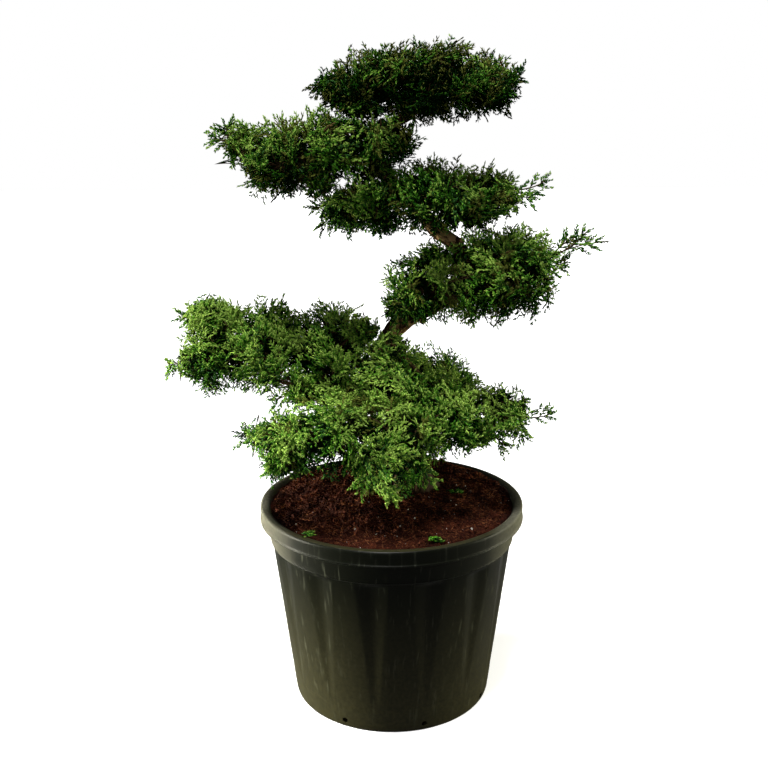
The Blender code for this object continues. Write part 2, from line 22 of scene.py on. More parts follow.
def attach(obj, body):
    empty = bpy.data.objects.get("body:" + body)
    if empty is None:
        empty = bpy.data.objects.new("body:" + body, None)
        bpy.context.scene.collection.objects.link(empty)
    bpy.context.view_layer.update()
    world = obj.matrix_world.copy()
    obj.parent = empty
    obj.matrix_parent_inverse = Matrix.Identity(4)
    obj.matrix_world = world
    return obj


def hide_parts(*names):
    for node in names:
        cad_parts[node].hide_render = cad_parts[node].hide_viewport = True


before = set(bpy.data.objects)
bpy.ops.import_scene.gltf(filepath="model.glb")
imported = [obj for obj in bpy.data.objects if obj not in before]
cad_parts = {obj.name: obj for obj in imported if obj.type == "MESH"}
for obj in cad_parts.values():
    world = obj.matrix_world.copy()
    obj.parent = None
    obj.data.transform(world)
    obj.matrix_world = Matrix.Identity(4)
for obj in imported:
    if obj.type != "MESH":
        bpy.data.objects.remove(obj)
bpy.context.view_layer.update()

log = logging.getLogger("juniper")

Points = NDArray[np.float64]
Indices = NDArray[np.int64]
Choice = NDArray[np.bool_]
Colour = tuple[float, float, float]
Place = tuple[float, float, float]
Socket = bpy.types.NodeSocket
Inputs = dict[str | int, object]

BODY = "root"
UP = np.array([0.0, 0.0, 1.0])
GOLDEN_ANGLE = math.pi * (3.0 - math.sqrt(5.0))

# Levels that the pot, the soil and the trunk share
SOIL_EDGE = 0.391
GROUND = 0.424

# Triangles of the three small forms that are repeated by the thousand
SPINDLE_FACES = np.array([[0, 2, 1], [0, 3, 2], [0, 1, 3], [1, 2, 4], [2, 3, 4], [3, 1, 4]])
SPIKE_FACES = np.array([[0, 2, 1], [0, 1, 3], [1, 2, 3], [2, 0, 3]])
GRAIN_FACES = np.array([
    [0, 1, 2], [1, 3, 2], [3, 4, 2], [4, 0, 2], [1, 0, 5], [3, 1, 5], [4, 3, 5], [0, 4, 5],
])


def unit(vectors: Points) -> Points:
    """Vectors of any shape, last axis the coordinates, divided by their lengths."""
    return vectors / np.maximum(np.linalg.norm(vectors, axis=-1, keepdims=True), 1e-12)


def smoothstep(values: Points) -> Points:
    """3t^2 - 2t^3 of the values held between 0 and 1."""
    held = np.clip(values, 0.0, 1.0)
    return held * held * (3.0 - 2.0 * held)


def smooth_noise(across: Points, along: Points, seed: int, wrap: int = 251) -> Points:
    """Value noise from -1 to 1 in two directions.

    Random numbers sit on the corners of a unit lattice, and a point takes the mix of its four
    corners, weighted by the smoothstep of its place in the cell.

    Args:
        across: places in the direction that repeats after wrap cells.
        along: places in the other direction.
        seed: which lattice.
        wrap: cells before the lattice repeats across.

    Returns:
        One value for each pair of places.
    """
    rows = 509
    table = np.random.default_rng(seed).uniform(-1.0, 1.0, (rows, wrap))
    column, row = np.floor(across).astype(int), np.floor(along).astype(int)
    s, t = smoothstep(across - column), smoothstep(along - row)
    left, right = column % wrap, (column + 1) % wrap
    low, high = row % rows, (row + 1) % rows
    near = table[low, left] * (1.0 - s) + table[low, right] * s
    far = table[high, left] * (1.0 - s) + table[high, right] * s
    return near * (1.0 - t) + far * t


def smooth_path(corners: Points, steps: int) -> Points:
    """Points on a Catmull-Rom curve through the corners, with steps points to a span.

    Between b and c, with a before and d after them, a point at t is half of
    2b + (c - a)t + (2a - 5b + 4c - d)t^2 + (3b - a - 3c + d)t^3.

    Args:
        corners: the points that the curve passes through, as (corners, 3).
        steps: points to a span.

    Returns:
        The curve's points, with the last corner at their end.
    """
    first, last = 2 * corners[:1] - corners[1:2], 2 * corners[-1:] - corners[-2:-1]
    padded = np.concatenate([first, corners, last])[:, None]
    a, b, c, d = padded[:-3], padded[1:-2], padded[2:-1], padded[3:]
    t = (np.arange(steps) / steps)[None, :, None]
    spans = 2 * b + (c - a) * t + (2 * a - 5 * b + 4 * c - d) * t**2
    spans = 0.5 * (spans + (3 * b - a - 3 * c + d) * t**3)
    return np.concatenate([spans.reshape(-1, 3), corners[-1:]])


def spread(values: Points, steps: int) -> Points:
    """Values in straight steps between the given ones, in line with smooth_path."""
    count = (len(values) - 1) * steps
    return np.interp(np.arange(count + 1) / steps, np.arange(len(values)), values)


def curved(starts: Points, ends: Points, bend: Points, steps: int) -> Points:
    """Bent paths: a straight line from start to end, plus 4 t (1 - t) times a bend.

    Args:
        starts: the paths' first points, as (paths, 3).
        ends: their last points.
        bend: how far each is pushed aside half way.
        steps: points to a path.

    Returns:
        Points as (paths, steps, 3).
    """
    t = np.linspace(0.0, 1.0, steps)[None, :, None]
    straight = starts[:, None] * (1 - t) + ends[:, None] * t
    return straight + 4 * t * (1 - t) * bend[:, None]


def dealt(count: int, cut: float, rng: np.random.Generator) -> Points:
    """Directions dealt over a sphere by the golden angle, with its lowest part left out.

    The level of the i-th of n is 1 - (2 - cut)(i + c) / n, with c a chance from 0 to 1, and
    each direction turns on from the last by the golden angle and a little chance.

    Args:
        count: how many.
        cut: height of the part left out, where the whole sphere is 2 high.
        rng: where the chance comes from.

    Returns:
        One direction to a row.
    """
    i = np.arange(count)
    level = 1.0 - (2.0 - cut) * (i + rng.uniform(0.0, 1.0, count)) / count
    turn = i * GOLDEN_ANGLE + rng.uniform(-0.4, 0.4, count)
    flat = np.sqrt(np.maximum(1.0 - level**2, 0.0))
    return np.stack([flat * np.cos(turn), flat * np.sin(turn), level], axis=-1)


def facing(angle: Points, rise: Points) -> Points:
    """Ways at angles round the upright axis: (cos a, sin a, rise)."""
    return np.stack([np.cos(angle), np.sin(angle), rise], axis=-1)


def leaning(ahead: Points, aside: Points, face: Points, lean: Points, lift: Points) -> Points:
    """Ways that lean from ahead to one side: ahead cos lean + aside sin lean + face lift."""
    return unit(ahead * np.cos(lean) + aside * np.sin(lean) + face * lift)


def in_turn(count: int) -> Points:
    """1 and -1 in turn, for what grows to the left and to the right."""
    return np.where(np.arange(count) % 2 == 0, 1.0, -1.0)


def nearest_to(points: Points, nodes: Points) -> Indices:
    """The number of the node nearest to each point."""
    return np.linalg.norm(points[:, None] - nodes, axis=-1).argmin(axis=1)


def merged(parts: Sequence[Points]) -> Points:
    """Arrays joined into one, each with its first two axes made one."""
    return np.concatenate([part.reshape(-1, *part.shape[2:]) for part in parts])


@dataclass
class Skin:
    """A surface as points, triangles and the number of the finish on each triangle."""

    points: Points
    triangles: Indices
    finishes: Indices

    @classmethod
    def plain(cls, points: Points, triangles: Indices, finish: int = 0) -> Skin:
        """A surface with one finish all over."""
        return cls(points, triangles, np.full(len(triangles), finish))

    @classmethod
    def repeated(cls, points: Points, one: Indices) -> Skin:
        """Many forms of the same faces as one surface.

        Args:
            points: the forms' points, as (forms, points to a form, 3).
            one: the triangles of one form.

        Returns:
            All the forms.
        """
        every = one[None] + points.shape[1] * np.arange(len(points))[:, None, None]
        return cls.plain(points.reshape(-1, 3), every.reshape(-1, 3))

    @classmethod
    def joined(cls, skins: Sequence[Skin]) -> Skin:
        """Several surfaces as one.

        Args:
            skins: the surfaces, each with its own finish numbers.

        Returns:
            One surface that keeps their order and their numbers.
        """
        starts = np.cumsum([0] + [len(skin.points) for skin in skins])
        return cls(
            np.concatenate([skin.points for skin in skins]),
            np.concatenate([skin.triangles + start for skin, start in zip(skins, starts)]),
            np.concatenate([skin.finishes for skin in skins]),
        )


def ring_triangles(rows: int, columns: int) -> Indices:
    """Triangles between neighbouring rings of a grid whose columns close round.

    The rings turn right-handed round the way from row to row, so the faces point out.

    Args:
        rows: rings in the grid.
        columns: points round a ring.

    Returns:
        Two triangles for each cell.
    """
    row, column = np.meshgrid(np.arange(rows - 1), np.arange(columns), indexing="ij")
    here = row * columns + column
    after = row * columns + (column + 1) % columns
    lower = np.stack([here, after, after + columns], axis=-1)
    upper = np.stack([here, after + columns, here + columns], axis=-1)
    return np.concatenate([lower.reshape(-1, 3), upper.reshape(-1, 3)])


def capped_tubes(rings: Points) -> Skin:
    """Closed tubes through rings of points, each end drawn to the middle of its ring.

    Args:
        rings: points as (tubes, rings, points round, 3).

    Returns:
        All the tubes as one surface.
    """
    tubes, stations, sides, _ = rings.shape
    middle = stations * sides
    ends = [rings[:, :1].mean(axis=2), rings[:, -1:].mean(axis=2)]
    points = np.concatenate([rings.reshape(tubes, -1, 3), *ends], axis=1)
    here = np.arange(sides)
    after = (here + 1) % sides
    top = (stations - 1) * sides
    start = np.stack([np.full(sides, middle), after, here], axis=-1)
    end = np.stack([np.full(sides, middle + 1), top + here, top + after], axis=-1)
    return Skin.repeated(points, np.concatenate([ring_triangles(stations, sides), start, end]))


def path_frames(paths: Points) -> tuple[Points, Points, Points]:
    """The way ahead and two directions square to it at each point of some paths.

    The first of the two is the cross product of the way ahead with the axis that the path is
    least along, so it doesn't twist.

    Args:
        paths: points as (paths, stations, 3).

    Returns:
        Ahead, side and other, each in the paths' shape.
    """
    ahead = unit(np.gradient(paths, axis=1))
    axis = np.eye(3)[np.abs(ahead).max(axis=1).argmin(axis=-1)]
    side = unit(np.cross(axis[:, None], ahead))
    return ahead, side, np.cross(ahead, side)


def round_tubes(paths: Points, radii: Points, sides: int) -> Skin:
    """Closed round tubes: each ring is centre + radius * (side cos a + other sin a).

    Args:
        paths: points as (tubes, stations, 3).
        radii: a radius for each point, as (tubes, stations).
        sides: points round each tube.

    Returns:
        All the tubes as one surface.
    """
    _, side, other = path_frames(paths)
    angle = (math.tau * np.arange(sides) / sides)[:, None]
    out = side[:, :, None] * np.cos(angle) + other[:, :, None] * np.sin(angle)
    return capped_tubes(paths[:, :, None] + out * radii[:, :, None, None])


def three_round(centres: Points, ways: Points, radii: Points) -> Points:
    """Three even points round each centre: centre + radius * (side cos a + other sin a).

    Args:
        centres: the middle of each ring, as (rings, 3).
        ways: what each ring is square to.
        radii: the radius of each ring.

    Returns:
        Points as (rings, 3, 3).
    """
    ahead = unit(ways)
    axis = np.eye(3)[np.abs(ahead).argmin(axis=-1)]
    side = unit(np.cross(axis, ahead))
    other = np.cross(ahead, side)
    angle = (math.tau * np.arange(3) / 3)[:, None]
    out = side[:, None] * np.cos(angle) + other[:, None] * np.sin(angle)
    return centres[:, None] + out * radii[:, None, None]


def spindles(starts: Points, ends: Points, radii: Points, waist: float) -> Skin:
    """Three-sided shoots that swell from a point to a waist and close to a point again.

    The waist's ring stands round start + waist * (end - start).

    Args:
        starts: where each shoot leaves what carries it, as (shoots, 3).
        ends: the shoots' tips.
        radii: the radius at each waist.
        waist: the waist's place, as a share of the length.

    Returns:
        All the shoots as one surface of six faces each.
    """
    ring = three_round(starts + waist * (ends - starts), ends - starts, radii)
    points = np.concatenate([starts[:, None], ring, ends[:, None]], axis=1)
    return Skin.repeated(points, SPINDLE_FACES)


def spikes(starts: Points, ends: Points, radii: Points) -> Skin:
    """Three-sided shoots that taper from a flat foot to a point.

    The foot's ring stands round the start.

    Args:
        starts: the middle of each foot, as (shoots, 3).
        ends: the shoots' tips.
        radii: the radius at each foot.

    Returns:
        All the shoots as one surface of four faces each.
    """
    ring = three_round(starts, ends - starts, radii)
    return Skin.repeated(np.concatenate([ring, ends[:, None]], axis=1), SPIKE_FACES)


def add_object(name: str, data: bpy.types.ID) -> bpy.types.Object:
    """A new object in the scene, at the origin.

    Args:
        name: its name.
        data: its mesh, light or camera.

    Returns:
        The object.
    """
    made = bpy.data.objects.new(name, data)
    bpy.context.scene.collection.objects.link(made)
    return made


def add_piece(
    name: str,
    skin: Skin,
    finishes: Sequence[bpy.types.Material],
    replaced: Sequence[str] = (),
    marks: dict[str, Points] | None = None,
    sharp_angle: float = math.pi,
) -> bpy.types.Object:
    """Makes a piece of the object from a surface, riding on the one body.

    Args:
        name: the piece's name.
        skin: its surface.
        finishes: its materials, in the order of the surface's finish numbers.
        replaced: CAD nodes that it stands for.
        marks: values for each point that its materials read, by name.
        sharp_angle: faces that meet at more than this stay sharp.

    Returns:
        The new object.
    """
    mesh = bpy.data.meshes.new(name)
    count = len(skin.triangles)
    mesh.vertices.add(len(skin.points))
    mesh.vertices.foreach_set("co", skin.points.astype(np.float32).ravel())
    mesh.loops.add(3 * count)
    mesh.loops.foreach_set("vertex_index", skin.triangles.astype(np.int32).ravel())
    mesh.polygons.add(count)
    mesh.polygons.foreach_set("loop_start", np.arange(0, 3 * count, 3, dtype=np.int32))
    mesh.polygons.foreach_set("material_index", skin.finishes.astype(np.int32))
    for label, values in (marks or {}).items():
        mark = mesh.attributes.new(label, "FLOAT", "POINT")
        mark.data.foreach_set("value", values.astype(np.float32).ravel())
    mesh.update(calc_edges=True)
    mesh.validate()
    for finish in finishes:
        mesh.materials.append(finish)
    mesh.shade_smooth()
    if sharp_angle < math.pi:
        mesh.set_sharp_from_angle(angle=sharp_angle)
    piece = add_object(name, mesh)
    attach(piece, BODY)
    if replaced:
        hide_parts(*replaced)
    log.info("%s: %d points, %d triangles", name, len(skin.points), count)
    return piece


class Recipe:
    """One material's nodes, made a node at a time round its shader."""

    def __init__(self, name: str, roughness: float, specular: float) -> None:
        """Starts a material round a plain shader.

        Args:
            name: the material's name.
            roughness: its shader's roughness.
            specular: its shader's specular level.
        """
        self.material = bpy.data.materials.new(name)
        self.material.use_nodes = True
        self.tree = self.material.node_tree
        self.shader = next(one for one in self.tree.nodes if one.type == "BSDF_PRINCIPLED")
        self.feed(self.shader, {"Roughness": roughness, "Specular IOR Level": specular})
        self.place = self.add("ShaderNodeTexCoord", {}).outputs["Object"]

    def feed(self, node: bpy.types.Node, inputs: Inputs) -> None:
        """Links or sets each named input of a node.

        Args:
            node: what is fed.
            inputs: a socket to link or a value to set, by the input's name or number.
        """
        for key, value in inputs.items():
            if isinstance(value, Socket):
                self.tree.links.new(value, node.inputs[key])
            else:
                node.inputs[key].default_value = value

    def add(self, kind: str, inputs: Inputs, **settings: str) -> bpy.types.Node:
        """A new node.

        Args:
            kind: the name of its type.
            inputs: what its inputs are linked or set to, as in feed.
            settings: its own settings by name.

        Returns:
            The node.
        """
        node = self.tree.nodes.new(kind)
        for key, value in settings.items():
            setattr(node, key, value)
        self.feed(node, inputs)
        return node

    def stretched(self, scale: Place) -> Socket:
        """Object coordinates multiplied by a scale for each axis."""
        inputs = {"Vector": self.place, "Scale": scale}
        return self.add("ShaderNodeMapping", inputs).outputs["Vector"]

    def noise(self, scale: float, detail: float = 2.0, place: Socket | None = None) -> Socket:
        """Soft noise from 0 to 1 at a scale per metre."""
        inputs = {"Vector": place or self.place, "Scale": scale, "Detail": detail}
        return self.add("ShaderNodeTexNoise", inputs).outputs["Fac"]

    def mark(self, label: str) -> Socket:
        """The value that the mesh keeps for each point under a name."""
        node = self.add("ShaderNodeAttribute", {}, attribute_name=label)
        return node.outputs["Fac"]

    def sums(self, operation: str, *values: Socket | float) -> Socket:
        """A sum such as ADD or MULTIPLY of two values, or ABSOLUTE of one."""
        return self.add("ShaderNodeMath", dict(enumerate(values)), operation=operation).outputs[0]

    def ranged(
        self, value: Socket, low: float, high: float, start: float = 0.3, end: float = 0.7
    ) -> Socket:
        """A value taken from between start and end to between low and high."""
        inputs = {"Value": value, "From Min": start, "From Max": end, "To Min": low, "To Max": high}
        return self.add("ShaderNodeMapRange", inputs).outputs["Result"]

    def ramp(self, value: Socket, stops: Sequence[tuple[float, Colour]]) -> Socket:
        """Colours laid out along a value.

        Args:
            value: what picks the colour, from 0 to 1.
            stops: each colour with its position, in rising order.

        Returns:
            The colour.
        """
        node = self.add("ShaderNodeValToRGB", {"Fac": value})
        strip = node.color_ramp.elements
        while len(strip) < len(stops):
            strip.new(1.0)
        for element, (position, colour) in zip(strip, stops):
            element.position = position
            element.color = (*colour, 1.0)
        return node.outputs["Color"]

    def mixed(self, share: Socket, first: Socket | Colour, second: Socket | Colour) -> Socket:
        """One colour giving way to another.

        Args:
            share: how much of the second there is, from 0 to 1.
            first: the colour at 0.
            second: the colour at 1.

        Returns:
            The mixed colour.
        """
        node = self.add("ShaderNodeMix", {"Factor": share}, data_type="RGBA")
        sockets = [one for one in node.inputs if one.type == "RGBA"]
        for socket, colour in zip(sockets, (first, second)):
            if isinstance(colour, Socket):
                self.tree.links.new(colour, socket)
            else:
                socket.default_value = (*colour, 1.0)
        return next(one for one in node.outputs if one.type == "RGBA")

    def bump(self, height: Socket, strength: float, distance: float) -> None:
        """Roughens the shading by a height.

        Args:
            height: the height, from 0 to 1.
            strength: how much of it shows.
            distance: what a height of 1 measures in metres.
        """
        inputs = {"Height": height, "Strength": strength, "Distance": distance}
        normal = self.add("ShaderNodeBump", inputs).outputs["Normal"]
        self.feed(self.shader, {"Normal": normal})

    def colour(self, colour: Socket | Colour) -> None:
        """Gives the shader its base colour."""
        plain = colour if isinstance(colour, Socket) else (*colour, 1.0)
        self.feed(self.shader, {"Base Color": plain})


class Tint(Enum):
    """The greens and browns dealt out to the shoots, from the shade to the newest tips."""

    SHADE = (0.002, 0.012, 0.001)
    DEEP = (0.012, 0.068, 0.004)
    GREEN = (0.041, 0.154, 0.009)
    FRESH = (0.103, 0.266, 0.021)
    BRIGHT = (0.295, 0.465, 0.075)
    BLUISH = (0.034, 0.112, 0.024)
    OLIVE = (0.104, 0.122, 0.020)
    STRAW = (0.150, 0.105, 0.036)


# The shades from which a shoot is deep, green, fresh and bright
NEWER_FROM = (0.34, 0.50, 0.66, 0.84)


@dataclass(frozen=True)
class LeafFinish:
    """Scale leaves of one tint, with a waxy gloss that the scales break up."""

    tint: Tint
    scales_per_metre: float = 700.0
    gloss: tuple[float, float] = (0.26, 0.50)

    def make(self) -> bpy.types.Material:
        """The material: a plain colour, uneven gloss and a bump of scales.

        Returns:
            The material.
        """
        waxy = 0.02 + 0.25 * min(self.tint.value[1], 0.4)
        recipe = Recipe(f"leaf_{self.tint.name.lower()}", 0.40, waxy)
        recipe.colour(self.tint.value)
        gloss = recipe.ranged(recipe.noise(90.0), *self.gloss)
        recipe.feed(recipe.shader, {"Roughness": gloss})
        recipe.bump(recipe.noise(self.scales_per_metre, 1.0), 0.5, 0.0008)
        return recipe.material


@dataclass(frozen=True)
class BarkFinish:
    """Stringy bark: dark in its cracks, grey brown on its strips, ochre where they peel."""

    name: str
    crack: Colour = (0.007, 0.003, 0.001)
    strip: Colour = (0.092, 0.043, 0.015)
    peel: Colour = (0.440, 0.290, 0.125)

    def make(self) -> bpy.types.Material:
        """The material, which reads how high each point of the bark stands.

        Returns:
            The material.
        """
        recipe = Recipe(self.name, 0.85, 0.10)
        fine = recipe.noise(420.0, 4.0)
        height = recipe.sums("ADD", recipe.mark("relief"), recipe.ranged(fine, -0.16, 0.16))
        shades = [(0.52, self.crack), (0.70, self.strip), (0.88, self.peel)]
        patches = recipe.ranged(recipe.noise(38.0), 0.0, 0.25)
        recipe.colour(recipe.mixed(patches, recipe.ramp(height, shades), self.strip))
        recipe.bump(fine, 0.9, 0.0016)
        return recipe.material


@dataclass(frozen=True)
class PlasticFinish:
    """Dark moulded plastic, scuffed and dusty, with a painted sheen on the rim's two ends.

    Dry scuffs run down its side. Dust lies on what faces up and is splashed low on the wall.
    Above the ledge the plastic is duller towards the pot's two sides, and painted pale grey
    there: a painted sheen of the side lamps on the dust. ledge holds the heights, and the two
    fields after it the distances from the middle, for the painted sheen and for the dulling,
    between which each of these sets in. roughness is that of clean and of the dullest plastic.
    """

    name: str = "pot_plastic"
    plastic: Colour = (0.0034, 0.0042, 0.0022)
    scuff: Colour = (0.056, 0.060, 0.042)
    dust: Colour = (0.060, 0.054, 0.022)
    painted_dust_sheen: Colour = (0.130, 0.126, 0.096)
    splash_height: float = 0.33
    ledge: tuple[float, float] = (0.322, 0.334)
    sheen_from: tuple[float, float] = (0.175, 0.25)
    dulled_from: tuple[float, float] = (0.06, 0.20)
    roughness: tuple[float, float] = (0.30, 0.75)

    def make(self) -> bpy.types.Material:
        """The material, with its scuffs stretched down the wall.

        Returns:
            The material.
        """
        recipe = Recipe(self.name, 0.42, 0.12)
        down = recipe.stretched((1.0, 1.0, 0.07))
        scuffs = recipe.ranged(recipe.noise(150.0, 4.0, down), 0.0, 1.0, 0.58, 0.76)
        clouds = recipe.ranged(recipe.noise(11.0, 3.0), 0.0, 0.8, 0.36, 0.66)
        worn = recipe.sums("MULTIPLY", scuffs, clouds)
        colour = recipe.mixed(worn, self.plastic, self.scuff)
        normal = recipe.add("ShaderNodeNewGeometry", {}).outputs["Normal"]
        upward = recipe.add("ShaderNodeSeparateXYZ", {"Vector": normal}).outputs["Z"]
        settled = recipe.ranged(upward, 0.0, 0.40, 0.85, 1.0)
        place = recipe.add("ShaderNodeSeparateXYZ", {"Vector": recipe.place}).outputs
        height, aside = place["Z"], recipe.sums("ABSOLUTE", place["X"])
        splashed = recipe.ranged(height, 0.44, 0.0, 0.0, self.splash_height)
        grains = recipe.ranged(recipe.noise(160.0, 5.0), 0.60, 1.0, 0.35, 0.65)
        # Painted sheen: above the ledge the pot's left and right ends are painted pale grey, the
        # side lamps' light on the dust there.
        sheen_sides = recipe.ranged(aside, 0.0, 0.9, *self.sheen_from)
        above = recipe.ranged(height, 0.0, 1.0, *self.ledge)
        dust_sheen = recipe.sums("MULTIPLY", recipe.sums("MULTIPLY", sheen_sides, above), grains)
        dusty = recipe.sums("MULTIPLY", recipe.sums("MAXIMUM", settled, splashed), grains)
        recipe.colour(recipe.mixed(dust_sheen, recipe.mixed(dusty, colour, self.dust), self.painted_dust_sheen))
        dull = recipe.sums("ADD", worn, recipe.sums("MAXIMUM", dusty, dust_sheen))
        blunt = recipe.ranged(aside, 0.0, 0.45, *self.dulled_from)
        dull = recipe.sums("ADD", dull, recipe.sums("MULTIPLY", above, blunt))
        recipe.feed(recipe.shader, {"Roughness": recipe.ranged(dull, *self.roughness, 0.0, 1.0)})
        recipe.bump(recipe.noise(900.0, 2.0), 0.10, 0.0005)
        return recipe.material


@dataclass(frozen=True)
class EarthFinish:
    """Damp peat and what lies in it, dark crumbs to ochre fibres, and the twigs' dry bark."""

    name: str
    dark: Colour
    light: Colour
    roughness: float = 0.9

    def make(self) -> bpy.types.Material:
        """The material, speckled at the scale of its grains.

        Returns:
            The material.
        """
        recipe = Recipe(self.name, self.roughness, 0.06)
        grains = recipe.noise(260.0, 4.0)
        patches = recipe.noise(24.0, 3.0)
        mix = recipe.sums("MULTIPLY", recipe.sums("ADD", grains, patches), 0.5)
        recipe.colour(recipe.ramp(mix, [(0.40, self.dark), (0.62, self.light)]))
        recipe.bump(grains, 0.8, 0.0015)
        return recipe.material


@dataclass
class Pot:
    """The round nursery pot: plain foot, pressed-in flutes, collar and rolled rim.

    All lengths are in metres. foot_round is how far inside the wall the foot's round starts,
    how far out it swells and how high it is. bead, seam and nub start with how proud each
    stands: the bead then has its height above the ledge and its width, the seam its width, and
    the nub its width and its level.
    """

    base_radius: float = 0.196
    top_radius: float = 0.2430
    lip: float = 0.371
    collar: float = 0.328
    collar_step: float = 0.0025
    wall: float = 0.0065
    floor: float = 0.006
    flutes: int = 14
    first_flute: float = math.radians(-124.5)
    flute_depth: float = 0.0050
    flute_bottom: float = 0.050
    flute_shares: tuple[float, float] = (0.16, 0.60)
    flute_edge: float = 0.42
    underside: tuple[float, ...] = (0.0006, 0.05, 0.12, 0.180, 0.1895)
    foot_round: tuple[float, float, float] = (0.005, 0.0058, 0.006)
    foot_step: float = 0.0005
    ledge_rises: tuple[float, ...] = (
        0.0, 0.0008, 0.0016, 0.0024, 0.0032, 0.004, 0.0048, 0.006, 0.014, 0.026, 0.041,
    )
    bead: tuple[float, float, float] = (0.0006, 0.0028, 0.0020)
    seam: tuple[float, float] = (0.0003, 0.0012)
    nub: tuple[float, float, float] = (0.0018, 0.0030, 0.3405)
    seam_angle: float = -1.6
    warp: float = 0.0006
    drain_holes: int = 8
    drain_radius: float = 0.0055
    drain_height: float = 0.016
    first_drain: float = math.radians(-117.0)
    drain_span: tuple[float, ...] = tuple(np.linspace(-0.034, 0.034, 14))
    sectors: int = 440
    rim: tuple[tuple[float, float], ...] = (
        (0.2455, 0.3712), (0.2540, 0.3702), (0.2588, 0.3704), (0.2600, 0.3717), (0.2598, 0.3734),
        (0.2586, 0.3748), (0.2582, 0.3775), (0.2584, 0.3850), (0.2587, 0.3925), (0.2586, 0.3962),
        (0.2576, 0.3986), (0.2556, 0.3998), (0.2510, 0.4000), (0.2462, 0.3998), (0.2430, 0.3985),
        (0.2412, 0.3955), (0.2400, 0.3910),
    )

    def side(self, height: Points) -> Points:
        """Radius of the plain outer wall at a height: a straight line from foot to lip."""
        return self.base_radius + (self.top_radius - self.base_radius) * height / self.lip

    def drain_angles(self) -> Points:
        """Where the drain holes are round the foot."""
        return self.first_drain + math.tau * np.arange(self.drain_holes) / self.drain_holes

    def outline(self) -> Points:
        """The pot's half section as (radius, height), from the underside's middle to the floor's.

        Up the foot's round, the wall, the collar's step and the rim, then down the inside.

        Returns:
            Points as (points, 2).
        """
        foot = np.array([(radius, 0.0) for radius in self.underside])
        turn = np.linspace(0.0, math.pi / 2, 5)
        inset, swell, high = self.foot_round
        out = self.base_radius - inset + swell * np.sin(turn)
        round_foot = np.stack([out, high - high * np.cos(turn)], axis=1)
        heights = np.concatenate(
            [np.linspace(0.008, 0.026, 14), np.linspace(0.030, self.collar - 0.0005, 74)]
        )
        foot_out = self.foot_step * smoothstep((self.flute_bottom - heights) / 0.006)
        wall = np.stack([self.side(heights) + foot_out, heights], axis=1)
        above = self.collar + np.array(self.ledge_rises)
        step = self.collar_step * smoothstep((above - self.collar) / 0.002)
        proud, rise, wide = self.bead
        step = step + proud * np.exp(-(((above - self.collar - rise) / wide) ** 2))
        collar = np.stack([self.side(above) + step, above], axis=1)
        flat_rim = [(x, 0.0, z) for x, z in self.rim]
        rim = smooth_path(np.array(flat_rim), 3)[:, [0, 2]]
        inside = np.linspace(0.385, self.floor, 18)
        inner = np.stack([self.side(inside) - self.wall, inside], axis=1)
        bottom = np.array([(0.15, self.floor), (0.08, self.floor), (0.0006, self.floor)])
        return np.concatenate([foot, round_foot, wall, collar, rim, inner, bottom])

    def pressed(self, angle: Points, height: Points) -> Points:
        """How far the wall is pressed in, in metres, at an angle and a height.

        Each flute is a pleat: a groove whose two sides slope straight down to a narrow bottom. It
        is widest and deepest at the ledge under the collar, and both fade evenly to the foot.

        Args:
            angle: angles round the pot.
            height: heights on its wall.

        Returns:
            The depth for each pair of the two.
        """
        pitch = math.tau / self.flutes
        place = ((angle - self.first_flute) / pitch + 0.5) % 1.0 - 0.5
        up = np.clip((height - self.flute_bottom) / (self.collar - self.flute_bottom), 0.0, 1.0)
        low, high = self.flute_shares
        half = 0.5 * (low + (high - low) * up)
        slope = np.clip((half - np.abs(place)) / (self.flute_edge * 2 * half), 0.0, 1.0)
        across = 0.88 * slope + 0.12 * smoothstep(slope)
        upper = smoothstep((self.collar - height) / 0.008)
        return self.flute_depth * across * upper * up**0.8

    def skin(self) -> Skin:
        """The whole closed shell: radius * (cos a, sin a) at each height of the outline.

        The outer wall has the flutes pressed in, and a faint mould seam with a nub on it, and
        the whole pot is a little out of round. A radian measures 0.23 m along the wall at the
        seam and 0.24 m at the nub.

        Returns:
            The shell, with more points round it where the drain holes are.
        """
        line = self.outline()
        even = np.linspace(-math.pi, math.pi, self.sectors, endpoint=False)
        near = (self.drain_angles()[:, None] + np.array(self.drain_span)).ravel()
        near = (near + math.pi) % math.tau - math.pi
        angle = np.sort(np.concatenate([even, near]))[None]
        radius, height = line[:, :1], line[:, 1:]
        outer = radius > self.side(height) - 1e-9
        past = angle - self.seam_angle
        proud, wide = self.seam
        seam = np.exp(-((past * 0.23 / wide) ** 2)) * proud
        proud, wide, level = self.nub
        nub = np.exp(-((past * 0.24) ** 2 + (height - level) ** 2) / wide**2) * proud
        warp = self.warp * np.sin(3.0 * angle + 1.0) * smoothstep(height / 0.3)
        warp = warp * (radius > 0.1)
        radius = radius - np.where(outer, self.pressed(angle, height), 0.0)
        radius = radius + np.where(outer, seam * (height > 0.03) + nub, 0.0) + warp
        height = height + 0.0 * angle
        rings = np.stack([radius * np.cos(angle), radius * np.sin(angle), height], axis=-1)
        return capped_tubes(rings[None])

    def dress(self) -> None:
        """Makes the pot and cuts its drain holes."""
        plastic = PlasticFinish().make()
        pot = add_piece(
            "moulded_pot", self.skin(), [plastic], ["pot"],
            sharp_angle=math.radians(40),
        )
        angle = self.drain_angles()
        outward = facing(angle, 0 * angle)
        reach = self.side(np.array(self.drain_height)) + np.array([-0.03, 0.01])
        paths = outward[:, None] * reach[None, :, None] + UP * self.drain_height
        radii = np.full((self.drain_holes, 2), self.drain_radius)
        pierce(pot, round_tubes(paths, radii, 20))


